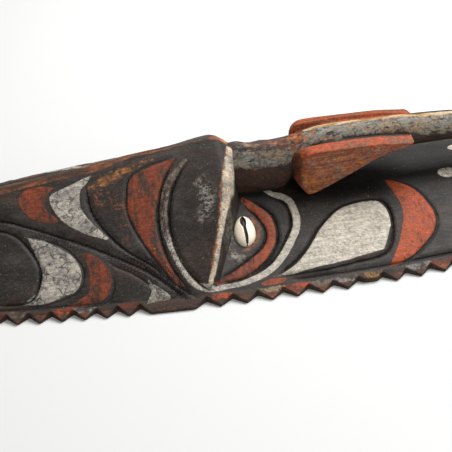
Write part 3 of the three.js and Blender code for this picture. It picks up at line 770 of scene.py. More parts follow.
def hollow_rings(s):
    """Rings of the hollow of the back, from the top to the chin, in millimetres."""
    rings = []
    shares = np.linspace(-1, 1, HOLLOW_POINTS)
    mark_length, mark_width, mark_height = HOLLOW_MARKS
    for turn in np.linspace(-HOLLOW_TURN, HOLLOW_TURN, HOLLOW_RINGS):
        reach = (s.top_reach if turn < 0 else s.chin_reach) - s.hollow_end
        x = np.array(s.widest + reach * math.sin(turn))
        fullness = (1 - end_share(s, x, s.hollow_end) ** 2) ** OUTLINE_FULLNESS
        half = (s.half_width - s.hollow_inset) * fullness
        roof = forehead_height(s, x, 0.0) - s.roof_thickness
        cheek = face_height(s, x, 0.0) - s.cheek_thickness
        height = roof + (cheek - roof) * smooth_step(*HOLLOW_STEP, x)
        rise = height * fullness**HOLLOW_END_POWER * (1 - np.abs(shares) ** HOLLOW_POWER)
        spots = [Vector((x / mark_length, half * share / mark_width, HOLLOW_LAYER)) for share in shares]
        marks = mark_height * np.array([noise.noise(spot) for spot in spots]) * (1 - shares**4)
        ceiling = np.stack([np.full(HOLLOW_POINTS, x), half * shares, np.maximum(rise + marks, 0)], 1)
        rings.append(np.vstack([ceiling, (x, half, -HOLLOW_BELOW), (x, -half, -HOLLOW_BELOW)]))
    return np.array(rings)


# Nose bar

NOSE_RINGS = 190
NOSE_SIDES = 44
NOSE_NARROWS = 0.16
NOSE_MARK_STRETCH = 1.7
NOSE_MARKS = 0.9
NOSE_INSET = 0.35


def nose_rings():
    """Rings of the nose bar, from the brow to the chin, in millimetres."""
    rings = []
    turns = np.linspace(0, 2 * math.pi, NOSE_SIDES, endpoint=False)
    across, up = np.cos(turns), np.sin(turns)
    for u in np.linspace(NOSE_CREST[0][0], NOSE_CREST[-1][0], NOSE_RINGS):
        top, under = height_through(NOSE_CREST, u), height_through(NOSE_UNDER, u)
        x = np.full(NOSE_SIDES, u)
        y = height_through(NOSE_HALF_WIDTH, u) * (1 - NOSE_NARROWS * up) * across
        z = (top + under) / 2 + (top - under) / 2 * up
        marks = tool_marks(x, y, z * NOSE_MARK_STRETCH) * NOSE_MARKS - NOSE_INSET
        rings.append(np.stack([x, y + marks * across, z + marks * up], 1))
    return np.array(rings)


# Nostril wings

WING_INNER = 7
WING_ROOT = 44.8
WING_EDGE = 1.1
EDGE_SHARE = 0.4
LEAST_SIDE = 1e-6
WING_MARKS = 1.1
WING_MARK_SHIFT = 40
WING_STATIONS = np.concatenate([[47, 47.6, 48.6, 50, 51.5], np.linspace(53, 129, 50), [130, 130.7, 131]])
# How far the outer face draws in at the two ends, by the place along
WING_BACK_END = (50, 3, 1.5)
WING_FRONT_END = (128.5, 2.5, 2.5)
# The inner parts of the deep end lie further back, up to this place and over this run
WING_SLANT = (60, 7)
WING_ROOT_RISE = 6
WING_ROOT_GAP = 0.5
WING_FOOT = 2
WING_SHOULDER_PLACE = (0.45, 8)
WING_VALLEY_PLACE = (0.55, 9.5)
WING_VALLEY_SHARE = 0.3


def wing_place(s, u, side):
    """Place along the mask of a wing station: the far wing lies further forward and is longer."""
    share = (u - WING_TOP[0][0]) / (WING_TOP[-1][0] - WING_TOP[0][0])
    return u if side < 0 else u + s.far_shift + s.far_growth * share


def wing_station(s, x, y):
    """Wing station of places along the mask, undoing the place of the far wing."""
    start, run = WING_TOP[0][0], WING_TOP[-1][0] - WING_TOP[0][0]
    return np.where(y < 0, x, start + (x - start - s.far_shift) * run / (run + s.far_growth))


def wing_corners(s, side, u):
    """Corners of a wing at one station, round from its inner top edge."""
    top, under = height_through(WING_TOP, u), height_through(WING_UNDER, u)
    inner_top = height_through(WING_INNER_TOP, u)
    back_place, back_run, back_draw = WING_BACK_END
    front_place, front_run, front_draw = WING_FRONT_END
    ends = back_draw * np.clip((back_place - u) / back_run, 0, 1) ** 2
    ends += front_draw * np.clip((u - front_place) / front_run, 0, 1) ** 2
    outer = s.wing_across - ends
    foot = outer + s.wing_flare * (top - under) / WING_TOP[0][1]
    slant_end, slant_run = WING_SLANT
    back = (outer - WING_INNER) / 2 * np.clip((slant_end - u) / slant_run, 0, 1)
    root = min(max(under + WING_ROOT_RISE, WING_ROOT), inner_top - WING_ROOT_GAP)
    valley = WING_VALLEY_SHARE * top + (1 - WING_VALLEY_SHARE) * inner_top
    shoulder_back, shoulder_in = WING_SHOULDER_PLACE
    valley_back, valley_in = WING_VALLEY_PLACE
    place = wing_place(s, u, side)
    return np.array([
        (place - back, WING_INNER, inner_top),
        (place - back, WING_INNER, root),
        (place, foot - WING_FOOT, under),
        (place, foot, under + WING_FOOT),
        (place, outer, top),
        (place - shoulder_back * back, outer - shoulder_in, height_through(WING_SHOULDER, u)),
        (place - valley_back * back, outer - valley_in, valley),
    ])


def rounded(corners, edge):
    """Ring with each corner of a closed outline rounded by three points."""
    ring = []
    for before, corner, after in zip(np.roll(corners, 1, 0), corners, np.roll(corners, -1, 0)):
        ends = []
        for side in (before - corner, after - corner):
            ends.append(corner + side * min(edge / max(np.linalg.norm(side), LEAST_SIDE), EDGE_SHARE))
        ring += [ends[0], (ends[0] + 2 * corner + ends[1]) / 4, ends[1]]
    return np.array(ring)


def wing_rings(s, side):
    """Rings of one nostril wing, from its deep end to its blunt front, in millimetres."""
    rings = []
    for u in WING_STATIONS:
        ring = rounded(wing_corners(s, side, u), WING_EDGE)
        marks = tool_marks(ring[:, 0], ring[:, 1] + WING_MARK_SHIFT, ring[:, 2])
        ring[:, 1] += marks * WING_MARKS * (ring[:, 1] > WING_INNER + 1)
        ring[:, 1] *= side
        rings.append(ring if side > 0 else ring[::-1])
    return np.array(rings)


# Meshes

SMOOTH_ANGLE = 38
SEAT_SIDES = 48


def activate(piece):
    """Makes a piece the one that is selected and active."""
    bpy.ops.object.select_all(action="DESELECT")
    piece.select_set(True)
    bpy.context.view_layer.objects.active = piece


def named(name):
    """The object that was just added, under its own name."""
    piece = bpy.context.object
    piece.name = name
    piece.data.name = name
    return piece


def get_places(piece):
    """Vertices of a piece, as rows of three."""
    places = np.empty(len(piece.data.vertices) * 3, np.float32)
    piece.data.vertices.foreach_get("co", places)
    return places.reshape(-1, 3).astype(float)


def set_places(piece, places):
    """Moves the vertices of a piece to places in millimetres."""
    piece.data.vertices.foreach_set("co", (places * MM).astype(np.float32).ravel())


def tube(name, rings):
    """Closed piece through rings of the same number of points, given in millimetres."""
    rows, columns = rings.shape[:2]
    bpy.ops.object.select_all(action="DESELECT")
    bpy.ops.mesh.primitive_grid_add(x_subdivisions=columns, y_subdivisions=rows - 1, size=1)
    piece = named(name)
    set_places(piece, np.concatenate([rings, rings[:, :1]], 1))
    piece.data.update()
    bpy.ops.object.mode_set(mode="EDIT")
    bpy.ops.mesh.select_all(action="SELECT")
    bpy.ops.mesh.remove_doubles(threshold=1e-7)
    bpy.ops.mesh.select_all(action="SELECT")
    bpy.ops.mesh.fill_holes(sides=0)
    bpy.ops.mesh.select_all(action="SELECT")
    bpy.ops.mesh.normals_make_consistent(inside=False)
    bpy.ops.object.mode_set(mode="OBJECT")
    return piece


def combine(piece, tool, operation):
    """Joins a tool piece to a piece or cuts it away, and removes the tool."""
    activate(piece)
    bpy.ops.object.modifier_add(type="BOOLEAN")
    modifier = piece.modifiers[-1]
    modifier.object = tool
    modifier.operation = operation
    modifier.solver = "MANIFOLD"
    bpy.ops.object.modifier_apply(modifier=modifier.name)
    if not piece.data.polygons:
        raise RuntimeError(f"{operation} with {tool.name} left nothing of {piece.name}")
    bpy.data.objects.remove(tool)


def assign(piece, materials, index):
    """Gives a piece the whole list of materials and puts one of them on every face."""
    for material in materials:
        piece.data.materials.append(material)
    piece.data.polygons.foreach_set("material_index", [index] * len(piece.data.polygons))


def set_values(piece, name, values):
    """Stores one number for each vertex."""
    layer = piece.data.attributes.new(name, "FLOAT", "POINT")
    layer.data.foreach_set("value", values.astype(np.float32))


def shell_place(s, side):
    """Where a cowrie lies in its socket."""
    rest = float(surface_height(s, np.array(s.shell_along), np.array(s.shell_across)))
    spot = Vector((s.shell_along, side * s.shell_across, rest + s.shell_proud - s.shell_depth / 2)) * MM
    turn = Matrix.Rotation(side * s.shell_turn, 4, "Z") @ Matrix.Rotation(-side * s.shell_tilt, 4, "X")
    return Matrix.Translation(spot) @ turn


def seat(s, side):
    """Oval seat cut for a cowrie."""
    bpy.ops.object.select_all(action="DESELECT")
    bpy.ops.mesh.primitive_uv_sphere_add(segments=SEAT_SIDES, ring_count=SEAT_SIDES // 2, radius=0.5)
    piece = named("seat")
    size = [(width + 2 * s.seat_gap) * MM for width in (s.shell_width, s.shell_length, s.shell_depth)]
    piece.data.transform(shell_place(s, side) @ Matrix.Diagonal((*size, 1)))
    return piece


# Shader nodes

class Value:
    """Output of a node, which can be added, subtracted and multiplied."""

    def __init__(self, nodes, socket):
        self.nodes = nodes
        self.socket = socket

    def __add__(self, other):
        return self.nodes.calc("ADD", self, other)

    def __sub__(self, other):
        return self.nodes.calc("SUBTRACT", self, other)

    def __rsub__(self, other):
        return self.nodes.calc("SUBTRACT", other, self)

    def __mul__(self, other):
        return self.nodes.calc("MULTIPLY", self, other)


class Nodes:
    """Adds nodes to one node tree and links them."""

    def __init__(self, tree):
        self.tree = tree

    def put(self, socket, value):
        """Links an output to a socket, or sets the socket to a constant."""
        if isinstance(value, Value):
            self.tree.links.new(value.socket, socket)
        elif socket.type == "RGBA" and len(value) == 3:
            socket.default_value = (*value, 1)
        else:
            socket.default_value = value

    def add(self, kind, values=(), output=0, **settings):
        """An output of a new node that gets its settings, and its inputs by name or number."""
        node = self.tree.nodes.new(kind)
        for key, value in settings.items():
            setattr(node, key, value)
        for key, value in dict(values).items():
            self.put(node.inputs[key], value)
        return Value(self, node.outputs[output])

    def calc(self, operation, first, second=0.0):
        return self.add("ShaderNodeMath", {0: first, 1: second}, operation=operation)

    def vector(self, operation, first, second):
        return self.add("ShaderNodeVectorMath", {0: first, 1: second}, operation=operation)

    def blend(self, share, under, over, mode="MIX"):
        values = {"Factor": share, 6: under, 7: over}
        return self.add("ShaderNodeMix", values, 2, data_type="RGBA", blend_type=mode)

    def ramp(self, value, start, end, low=0.0, high=1.0):
        values = {"Value": value, "From Min": start, "From Max": end, "To Min": low, "To Max": high}
        return self.add("ShaderNodeMapRange", values, interpolation_type="SMOOTHSTEP")

    def noise(self, place, scale, detail=4.0, roughness=0.6):
        values = {"Vector": place, "Scale": scale, "Detail": detail, "Roughness": roughness}
        return self.add("ShaderNodeTexNoise", values)

    def place(self, stretch=(1, 1, 1), offset=(0, 0, 0)):
        """Object position in metres, stretched and moved."""
        spot = self.add("ShaderNodeTexCoord", output="Object")
        return self.add("ShaderNodeMapping", {"Vector": spot, "Scale": stretch, "Location": offset})

    def patches(self, pattern):
        """Soft patches all over a piece, as a pattern of stretch, shift, noise and ramp."""
        stretch, shift, noise_values, ramp_values = pattern
        return self.ramp(self.noise(self.place(stretch, shift), *noise_values), *ramp_values)

    def field(self, name, output="Fac"):
        """What is stored on the vertices under a name."""
        return self.add("ShaderNodeAttribute", output=output, attribute_name=name)

    def group(self, group, values):
        """Puts a shared group into the tree; returns its outputs by name."""
        node = self.tree.nodes.new("ShaderNodeGroup")
        node.node_tree = group
        for key, value in values.items():
            self.put(node.inputs[key], value)
        return {output.name: Value(self, output) for output in node.outputs}


COLOUR = "NodeSocketColor"
VALUE = "NodeSocketFloat"
VECTOR = "NodeSocketVector"
# Noise is given as scale, detail and roughness, and a ramp as start and end, and from what to what
EVENLY, UNMOVED = (1, 1, 1), (0, 0, 0)
# Paint layer: its ragged edge, its streaks of wear, its cracks, flecks and tones
SEED_SHIFT = 0.3
COARSE_EDGE, COARSE_SHARE, FINE_EDGE, FINE_SHARE = (160, 5, 0.65), 0.7, (900, 3, 0.6), 0.3
RAGGED_REACH = 4.0
STREAKS, STREAK_LIMIT, STREAK_WEAR, STREAK_SOFTNESS = (330, 6, 0.72), 0.76, 0.36, 0.09
CRACK_SCALE, CRACK_RAMP = 130, (0.02, 0.11, 1.0, 0.0)
CRACK_BEND, CRACK_BEND_REACH = {"Scale": 150, "Detail": 4}, (0.012, 0.012, 0.012)
CRACK_PATCHES, CRACK_PATCH_RAMP, CRACK_SHARE = (140, 4, 0.6), (0.4, 0.56), 0.8
FLECKS, FLECK_RAMP, FLECK_SHARE = (620, 4, 0.7), (0.57, 0.64), 0.7
TONES, TONE_RAMP = (110, 6, 0.75), (0.44, 0.6)
# Wood grain: long and close streaks, mottling and specks
LONG_GRAIN, LONG_STRETCH = (1, 5, 0.65), (70, 800, 800)
CLOSE_GRAIN, CLOSE_STRETCH, CLOSE_SHIFT = (1, 4, 0.7), (420, 1500, 1500), (3, 1, 2)
GRAIN_RAMP, GRAIN_SHARE, GRAIN_DARK = (0.6, 0.38), 0.75, (0.3, 0.27, 0.25)
GRAIN_HEIGHT = 0.3
MOTTLE, MOTTLE_SHARE = ((0.9, 1, 1), (2, 4, 1), (460, 5, 0.75), (0.32, 0.68)), 0.9
MOTTLE_DARK, MOTTLE_LIGHT = (0.62, 0.6, 0.58), (1.42, 1.38, 1.34)
SPECKS = (EVENLY, (1, 5, 2), (700, 2, 0.5), (0.69, 0.76, 0.0, 0.5))
SPECK_COLOUR = (0.36, 0.33, 0.28)
# Carved line: how its course shakes, its dark inside, which is painted shade, and depth, and its lighter
# lips, partly rubbed and partly a painted highlight
LINE_SHAKE, LINE_SHAKE_REACH = (300, 3), 0.9
LINE_INSIDE, LINE_SHADE_SHARE, LINE_BED = (0.35, 0.95, 1.0, 0.0), 0.92, (0.0, 1.3, 0.7, 0.0)
LIP_START, LIP_END = (0.9, 1.3), (1.4, 2.1, 1.0, 0.0)
LIP_PATCHES = (EVENLY, UNMOVED, (210, 4), (0.42, 0.62, 0.0, 0.5))


def new_group(name, inputs, outputs):
    """Empty node group with named sockets; returns it, its nodes and what it is given."""
    group = bpy.data.node_groups.new(name, "ShaderNodeTree")
    for label, kind in inputs.items():
        group.interface.new_socket(label, in_out="INPUT", socket_type=kind)
    for label, kind in outputs.items():
        group.interface.new_socket(label, in_out="OUTPUT", socket_type=kind)
    nodes = Nodes(group)
    given = group.nodes.new("NodeGroupInput").outputs
    return group, nodes, {label: Value(nodes, given[label]) for label in inputs}


def put_out(nodes, values):
    """Ends a group with the values that it puts out."""
    result = nodes.tree.nodes.new("NodeGroupOutput").inputs
    for label, value in values.items():
        nodes.put(result[label], value)


def paint_group():
    """Paint over what is under it: a ragged edge, worn streaks, smudged cells and darker patches."""
    group, nodes, given = new_group(
        "Paint layer",
        {"Under": COLOUR, "Paint": COLOUR, "Worn paint": COLOUR, "Edge": VALUE, "Ragged": VALUE,
         "Softness": VALUE, "Wear": VALUE, "Smudge": VALUE, "Stretch": VECTOR, "Seed": VALUE},
        {"Colour": COLOUR, "Mask": VALUE})
    seed = nodes.add("ShaderNodeCombineXYZ", {0: given["Seed"], 1: SEED_SHIFT, 2: given["Seed"]})
    spot = nodes.vector("ADD", nodes.place(), seed)
    shake = nodes.noise(spot, *COARSE_EDGE) * COARSE_SHARE + nodes.noise(spot, *FINE_EDGE) * FINE_SHARE
    edge = given["Edge"] + (shake - 0.5) * (given["Ragged"] * RAGGED_REACH)
    cover = nodes.ramp(edge, given["Softness"] * -1.0, given["Softness"])
    drawn = nodes.add("ShaderNodeMapping", {"Vector": spot, "Scale": given["Stretch"]})
    limit = STREAK_LIMIT - given["Wear"] * STREAK_WEAR
    worn = nodes.ramp(nodes.noise(drawn, *STREAKS), limit, limit + STREAK_SOFTNESS)
    bend = nodes.add("ShaderNodeTexNoise", {"Vector": spot, **CRACK_BEND}, "Color")
    bent = nodes.vector("ADD", spot, nodes.vector("MULTIPLY", bend, CRACK_BEND_REACH))
    cells = nodes.add("ShaderNodeTexVoronoi", {"Vector": bent, "Scale": CRACK_SCALE}, "Distance",
                      feature="DISTANCE_TO_EDGE")
    cracked = nodes.ramp(nodes.noise(spot, *CRACK_PATCHES), *CRACK_PATCH_RAMP)
    cracks = nodes.ramp(cells, *CRACK_RAMP) * cracked * CRACK_SHARE
    flecks = nodes.ramp(nodes.noise(spot, *FLECKS), *FLECK_RAMP) * FLECK_SHARE
    smudge = nodes.calc("MAXIMUM", cracks, flecks) * given["Smudge"]
    mask = cover * (1.0 - nodes.calc("MAXIMUM", worn, smudge))
    tone = nodes.ramp(nodes.noise(drawn, *TONES), *TONE_RAMP)
    paint = nodes.blend(tone, given["Paint"], given["Worn paint"])
    put_out(nodes, {"Colour": nodes.blend(mask, given["Under"], paint), "Mask": mask})
    return group


def grain_group():
    """Streaks, mottling and dust specks of old wood, as a colour and a height in millimetres."""
    group, nodes, given = new_group(
        "Wood grain", {"Colour": COLOUR, "Strength": VALUE}, {"Colour": COLOUR, "Height": VALUE})
    long = nodes.noise(nodes.place(LONG_STRETCH), *LONG_GRAIN)
    close = nodes.noise(nodes.place(CLOSE_STRETCH, CLOSE_SHIFT), *CLOSE_GRAIN)
    both = long * 0.5 + close * 0.5
    share = nodes.ramp(both, *GRAIN_RAMP) * (given["Strength"] * GRAIN_SHARE)
    shade = nodes.blend(share, (1, 1, 1), GRAIN_DARK)
    toned = nodes.blend(1.0, given["Colour"], shade, "MULTIPLY")
    light = nodes.blend(nodes.patches(MOTTLE), MOTTLE_DARK, MOTTLE_LIGHT)
    mottled = nodes.blend(1.0, toned, light, "MULTIPLY")
    toned = nodes.blend(given["Strength"] * MOTTLE_SHARE, toned, mottled)
    specked = nodes.blend(nodes.patches(SPECKS), toned, SPECK_COLOUR)
    put_out(nodes, {"Colour": specked, "Height": both * GRAIN_HEIGHT})
    return group


def line_group():
    """Carved lines, dark inside as painted shade and lighter at the lips as rubbing and painted
    highlight, as a colour and a height in millimetres.
    """
    group, nodes, given = new_group(
        "Carved line", {"Colour": COLOUR, "Dark": COLOUR, "Lip": COLOUR},
        {"Colour": COLOUR, "Height": VALUE})
    shake = (nodes.noise(nodes.place(), *LINE_SHAKE) - 0.5) * LINE_SHAKE_REACH
    gap = nodes.calc("ABSOLUTE", nodes.field("line_side") + shake)
    weight = nodes.calc("MINIMUM", nodes.field("line_weight"), 1.0)
    # Painted shade inside the groove, and a lighter lip that is partly rubbing and partly a painted
    # highlight
    inside = nodes.ramp(gap, *LINE_INSIDE) * weight
    lip = nodes.ramp(gap, *LIP_START) * nodes.ramp(gap, *LIP_END)
    lip = lip * nodes.patches(LIP_PATCHES) * weight
    rubbed = nodes.blend(lip, given["Colour"], given["Lip"])
    dark = nodes.blend(inside * LINE_SHADE_SHARE, rubbed, given["Dark"])
    depth = nodes.ramp(gap, *LINE_BED) * weight
    put_out(nodes, {"Colour": dark, "Height": depth * -1.0})
    return group


# Materials

# How the worn streaks of a paint are drawn out
ALONG = (0.35, 1, 1)
ACROSS = (1.1, 0.35, 0.5)
EVEN = (0.9, 1, 1)
PAINT_THICKNESS = 0.12
CHARCOAL_PATCHES = ((0.5, 1, 1), UNMOVED, (60, 6, 0.7), (0.45, 0.68, 0.0, 0.8))
BROWN_PATCHES = ((0.6, 1, 1), (4, 2, 1), (34, 5, 0.7), (0.48, 0.7, 0, 0.6))
DUST_PATCHES = ((0.8, 1, 1), (7, 1, 3), (1100, 4, 0.75), (0.53, 0.7, 0, 0.45))
BARE_PATCHES = ((0.4, 1, 1), UNMOVED, (30, 5, 0.6), (0.4, 0.7))
WOOD_ROUGHNESS = (0.1, 0.2, 0.5, 0.72)
WOOD_SPECULAR = 0.3
WING_GRAIN = 1.1
# Painted shade: share of the black for the shade beside the nose bar and inside the carved lines, and the
# ramp of the shade beside the nose
SHADE_DARKNESS, NOSE_SHADE_RAMP = 0.3, (-6.0, 8.0, 0.0, 0.75)
# The paint is older and thinner beside the forehead than on the face, by the place along in metres
AGE_RAMP, SMUDGE_RAMP = (-0.045, 0.07, 1.0, 0.0), (-0.06, 0.02, 1.0, 0.35)
RED_AGE, WORN_RED, WHITE_AGE, WORN_WHITE = 0.68, 0.72, 0.45, 0.82
TOOTH_WALL, TOOTH_WALL_DARK = (0.3, 1.2, 0.0, 0.9), 0.5
SHELL_TINT = (EVENLY, UNMOVED, (210, 3, 0.5), (0.4, 0.75, 0, 0.35))
SHELL_MOUTH, SHELL_ROUGHNESS, SHELL_COAT = (0.1, 0.4, 1.0, 0.0), 0.3, 0.35
FLOOR_ROUGHNESS = 0.85


def new_material(name):
    material = bpy.data.materials.new(name)
    material.use_nodes = True
    return material, Nodes(material.node_tree), material.node_tree.nodes["Principled BSDF"].inputs


def black_ground(nodes, c):
    """Rubbed black paint over dark wood."""
    ground = nodes.blend(nodes.patches(CHARCOAL_PATCHES), c.black, c.charcoal)
    ground = nodes.blend(nodes.patches(BROWN_PATCHES), ground, c.umber)
    return nodes.blend(nodes.patches(DUST_PATCHES), ground, c.stone)


class Coats:
    """Coats of paint and wear on the wood, each laid over those before it."""

    def __init__(self, name, groups):
        self.material, self.nodes, self.shader = new_material(name)
        self.groups = groups
        self.base = None
        self.heights = []

    def lay(self, edge, paint, worn, ragged, softness, wear, seed, smudge=0.0, stretch=ALONG):
        """Lays a coat inside an edge field, with how ragged, soft, worn and smudged it is."""
        out = self.nodes.group(self.groups.paint, {
            "Under": self.base, "Paint": paint, "Worn paint": worn, "Edge": self.nodes.field(edge),
            "Ragged": ragged, "Softness": softness, "Wear": wear, "Smudge": smudge,
            "Stretch": stretch, "Seed": seed})
        self.base = out["Colour"]
        return out["Mask"]

    def lay_thick(self, *coat):
        """Lays a coat that stands out of the wood."""
        self.heights.append(self.lay(*coat) * PAINT_THICKNESS)

    def finish(self, strength=0.8):
        """Adds the grain, and gives the material its colour, height and roughness."""
        nodes = self.nodes
        grain = nodes.group(self.groups.grain, {"Colour": self.base, "Strength": strength})
        height = grain["Height"]
        for part in self.heights:
            height = height + part
        bump = nodes.add("ShaderNodeBump", {"Height": height, "Strength": 1.0, "Distance": MM})
        nodes.put(self.shader["Base Color"], grain["Colour"])
        nodes.put(self.shader["Normal"], bump)
        nodes.put(self.shader["Roughness"], nodes.ramp(grain["Height"], *WOOD_ROUGHNESS))
        nodes.put(self.shader["Specular IOR Level"], WOOD_SPECULAR)
        return self.material


def darker(shade, share):
    return [value * share for value in shade]


def plate_material(groups, c):
    """Paint of the plate: black ground with painted shade near the nose, red and white shapes, rim, wear,
    and carved lines with painted shade inside.
    """
    coats = Coats("Painted plate", groups)
    nodes = coats.nodes
    # Painted shade: the black ground is darkened near the middle past the brow, where the nose bar shades
    # the face
    nose_shade = nodes.ramp(nodes.field("sheltered"), *NOSE_SHADE_RAMP)
    coats.base = nodes.blend(nose_shade, black_ground(nodes, c), darker(c.black, SHADE_DARKNESS))
    coats.lay("brown_edge", c.rust, c.umber, 5.0, 4.0, 0.95, 1.5, 0.8, EVEN)
    coats.lay("scuff_edge", c.grey, c.stone, 5.0, 4.0, 0.85, 1.0, 0.8, EVEN)
    coats.lay("gold_edge", c.umber, c.rust, 3.0, 1.5, 0.6, 1.8, 0.5, EVEN)
    coats.lay("gold_edge", c.gold, c.rust, 5.0, 1.0, 0.95, 2.0, 1.0, EVEN)
    coats.lay("ridge_edge", c.umber, c.rust, 1.8, 0.8, 0.45, 3.0)
    coats.lay("tip_edge", c.orange, c.rust, 2.0, 0.8, 0.6, 3.5)
    along = nodes.add("ShaderNodeSeparateXYZ", {0: nodes.place()})
    age = nodes.ramp(along, *AGE_RAMP)
    aged = nodes.blend(age * RED_AGE, c.red, c.dark_red)
    worn = nodes.blend(age, darker(c.red, WORN_RED), c.umber)
    pale = nodes.blend(age * WHITE_AGE, c.white, c.grey)
    thin = nodes.blend(age, darker(c.white, WORN_WHITE), c.grey)
    smudge = nodes.ramp(along, *SMUDGE_RAMP)
    coats.lay_thick("red_edge", aged, worn, 0.4, 0.25, 0.5, 4.0, 0.4, ACROSS)
    coats.lay("fold_edge", c.stone, c.umber, 0.8, 0.5, 0.5, 4.6, 0.5, EVEN)
    coats.lay_thick("white_edge", pale, thin, 0.5, 0.3, nodes.field("white_wear"), 5.0, smudge, EVEN)
    coats.lay("stripe_edge", c.stripe, c.grey, 0.5, 0.4, 0.35, 5.3, 0.3)
    coats.lay("rub_edge", c.rust, c.umber, 1.6, 0.8, 0.6, 5.6, 0.6, EVEN)
    coats.lay("rim_edge", nodes.field("rim_colour", "Color"), c.umber, 1.4, 0.6, 0.6, 6.0, 0.9, EVEN)
    coats.lay("point_edge", c.umber, c.rust, 1.6, 0.8, 0.4, 6.5)
    # The carved lines get painted shade inside and a painted highlight on their lips
    line = nodes.group(groups.line, {
        "Colour": coats.base, "Dark": darker(c.black, SHADE_DARKNESS), "Lip": c.charcoal})
    wall = nodes.ramp(nodes.field("rim_drop"), *TOOTH_WALL)
    coats.base = nodes.blend(wall, line["Colour"], darker(c.umber, TOOTH_WALL_DARK))
    coats.heights.append(line["Height"])
    return coats.finish()


def nose_material(groups, c):
    """Nose bar: worn line on the far shoulder, clay flanks, mottled root, and a dark brown lower flank
    and underside that are partly painted shade.
    """
    coats = Coats("Painted nose", groups)
    coats.base = black_ground(coats.nodes, c)
    # Painted shade: the low flank is laid umber worn to black, and the belt at the root near black, for
    # the shade under the bar
    coats.lay("nose_low", c.umber, c.black, 2.5, 1.2, 0.5, 7.0)
    coats.lay("nose_belt", c.umber, darker(c.rust, 0.4), 4.0, 2.0, 0.9, 7.3)
    coats.lay_thick("nose_clay", c.clay, c.sand, 2.6, 0.9, 0.62, 8.0, 0.7)
    coats.lay("nose_dark", c.blue, c.rust, 5.0, 0.9, 0.7, 8.4)
    coats.lay("nose_root", c.sand, c.orange, 6.0, 1.0, 0.9, 8.7, 0.6)
    coats.lay("nose_rust", c.orange, c.rust, 6.0, 1.2, 0.8, 7.5)
    coats.lay("nose_top", c.beige, c.gold, 1.2, 0.6, 0.35, 9.0)
    return coats.finish()


def wing_material(groups, c):
    """Nostril wings: bright red along the top, worn below it, and left dark at the deep end as painted
    shade.
    """
    coats = Coats("Painted wings", groups)
    coats.base = black_ground(coats.nodes, c)
    side = coats.nodes.blend(0.35, c.rust, c.red)
    coats.lay("wing_side", side, c.rust, 1.0, 0.8, 0.35, 10.0)
    coats.lay("wing_scuff", c.sand, c.rose, 6.0, 2.5, 0.86, 11.0, 0.8)
    coats.lay("wing_scuff", c.rose, c.orange, 6.0, 2.0, 0.8, 11.3, 1.0)
    coats.lay("wing_rust", c.orange, c.gold, 6.0, 3.0, 0.82, 11.5, 1.0, EVEN)
    coats.lay_thick("wing_red", c.red, c.rust, 1.8, 0.8, 0.45, 12.0, 0.3)
    return coats.finish(WING_GRAIN)


def bare_material(groups, c):
    """Bare wood of the hollow back."""
    coats = Coats("Bare wood", groups)
    coats.base = coats.nodes.blend(coats.nodes.patches(BARE_PATCHES), c.bare, c.umber)
    return coats.finish()


def shell_material(c):
    """Polished cowrie with its mouth painted dark as shade inside the slit."""
    material, nodes, shader = new_material("Cowrie")
    base = nodes.blend(nodes.patches(SHELL_TINT), c.shell, c.beige)
    # The mouth is painted dark as shade inside the slit
    mouth = nodes.ramp(nodes.field("mouth_gap"), *SHELL_MOUTH)
    nodes.put(shader["Base Color"], nodes.blend(mouth, base, c.slit))
    nodes.put(shader["Roughness"], SHELL_ROUGHNESS)
    nodes.put(shader["Coat Weight"], SHELL_COAT)
    return material


# Fields of paint, wear and painted shade: how far each vertex is inside them, in millimetres

# Painted shade beside and under the nose bar lies this near the middle, past the brow
NOSE_SHADE_REACH = 27
# Wear of the white paint: everywhere, on the far part of the fold, on the cheek and at the front
WHITE_WEAR = 0.38
FOLD_WEAR, FOLD_WEAR_FROM, FOLD_WEAR_FADE = 0.75, -62, (64, 50)
CHEEK_WEAR, CHEEK_WEAR_FADE = -0.2, (0, 20)
FRONT_WEAR, FRONT_WEAR_FADE = 0.4, (142, 152)
FOLD_END = -34
FOLD_SPREAD = 0.4
STRIPE_INNER, STRIPE_OUTER = 3, 85
RUB_HALF, RUB_INNER, RUB_OUTER = 0.9, 6, 80
RIDGE_WEAR_END = 7
TIP_WEAR = (-8, 4, 2, 1.125, 4)
RIM_SPREAD, RIM_GAP = 0.6, 1
POINT_WEAR, TAB_POINT_WEAR = 3.2, 0.2
DROP_START = -2
# Along the nose: where its root ends and where its front begins
NOSE_ROOT_END = (58, 46)
NOSE_FRONT = (124, 142)
# Light strip on the shoulder of the nose: half width and middle, and their change to the front
STRIP_HALF, STRIP_HALF_CHANGE = 3.5, -1.9
STRIP_MIDDLE, STRIP_MIDDLE_CHANGE = 3.2, -3.8
STRIP_DEPTH = 9
ROOT_LOSS = 8
# Clay on the near flank: its far edge and its depth below the crest, and their change to the front
CLAY_EDGE, CLAY_EDGE_CHANGE = 0.2, -2.2
CLAY_DEPTH, CLAY_DEPTH_CHANGE = 5.6, 4.6
CLAY_SPREAD = 0.5
ROOT_CLAY_TOP, ROOT_CLAY_FOOT = 4.5, 15.5
DARK_FROM, DARK_TO, DARK_INSET, ROOT_DARK_DEPTH = -3, 0.8, 1.2, 5
NOSE_RUST, NOSE_RUST_DEPTH = (50, -2, 2, 1, 4.5), 8
ROOT_WEAR = (22, -3, 6, 1, 2.5)
# Belt at the root and low part of the nose: brown paint, darkened as painted shade under the bar
BELT_DEPTH, BELT_FOOT, BELT_END = 15, 29, 0.3
LOW_DEPTH = 13
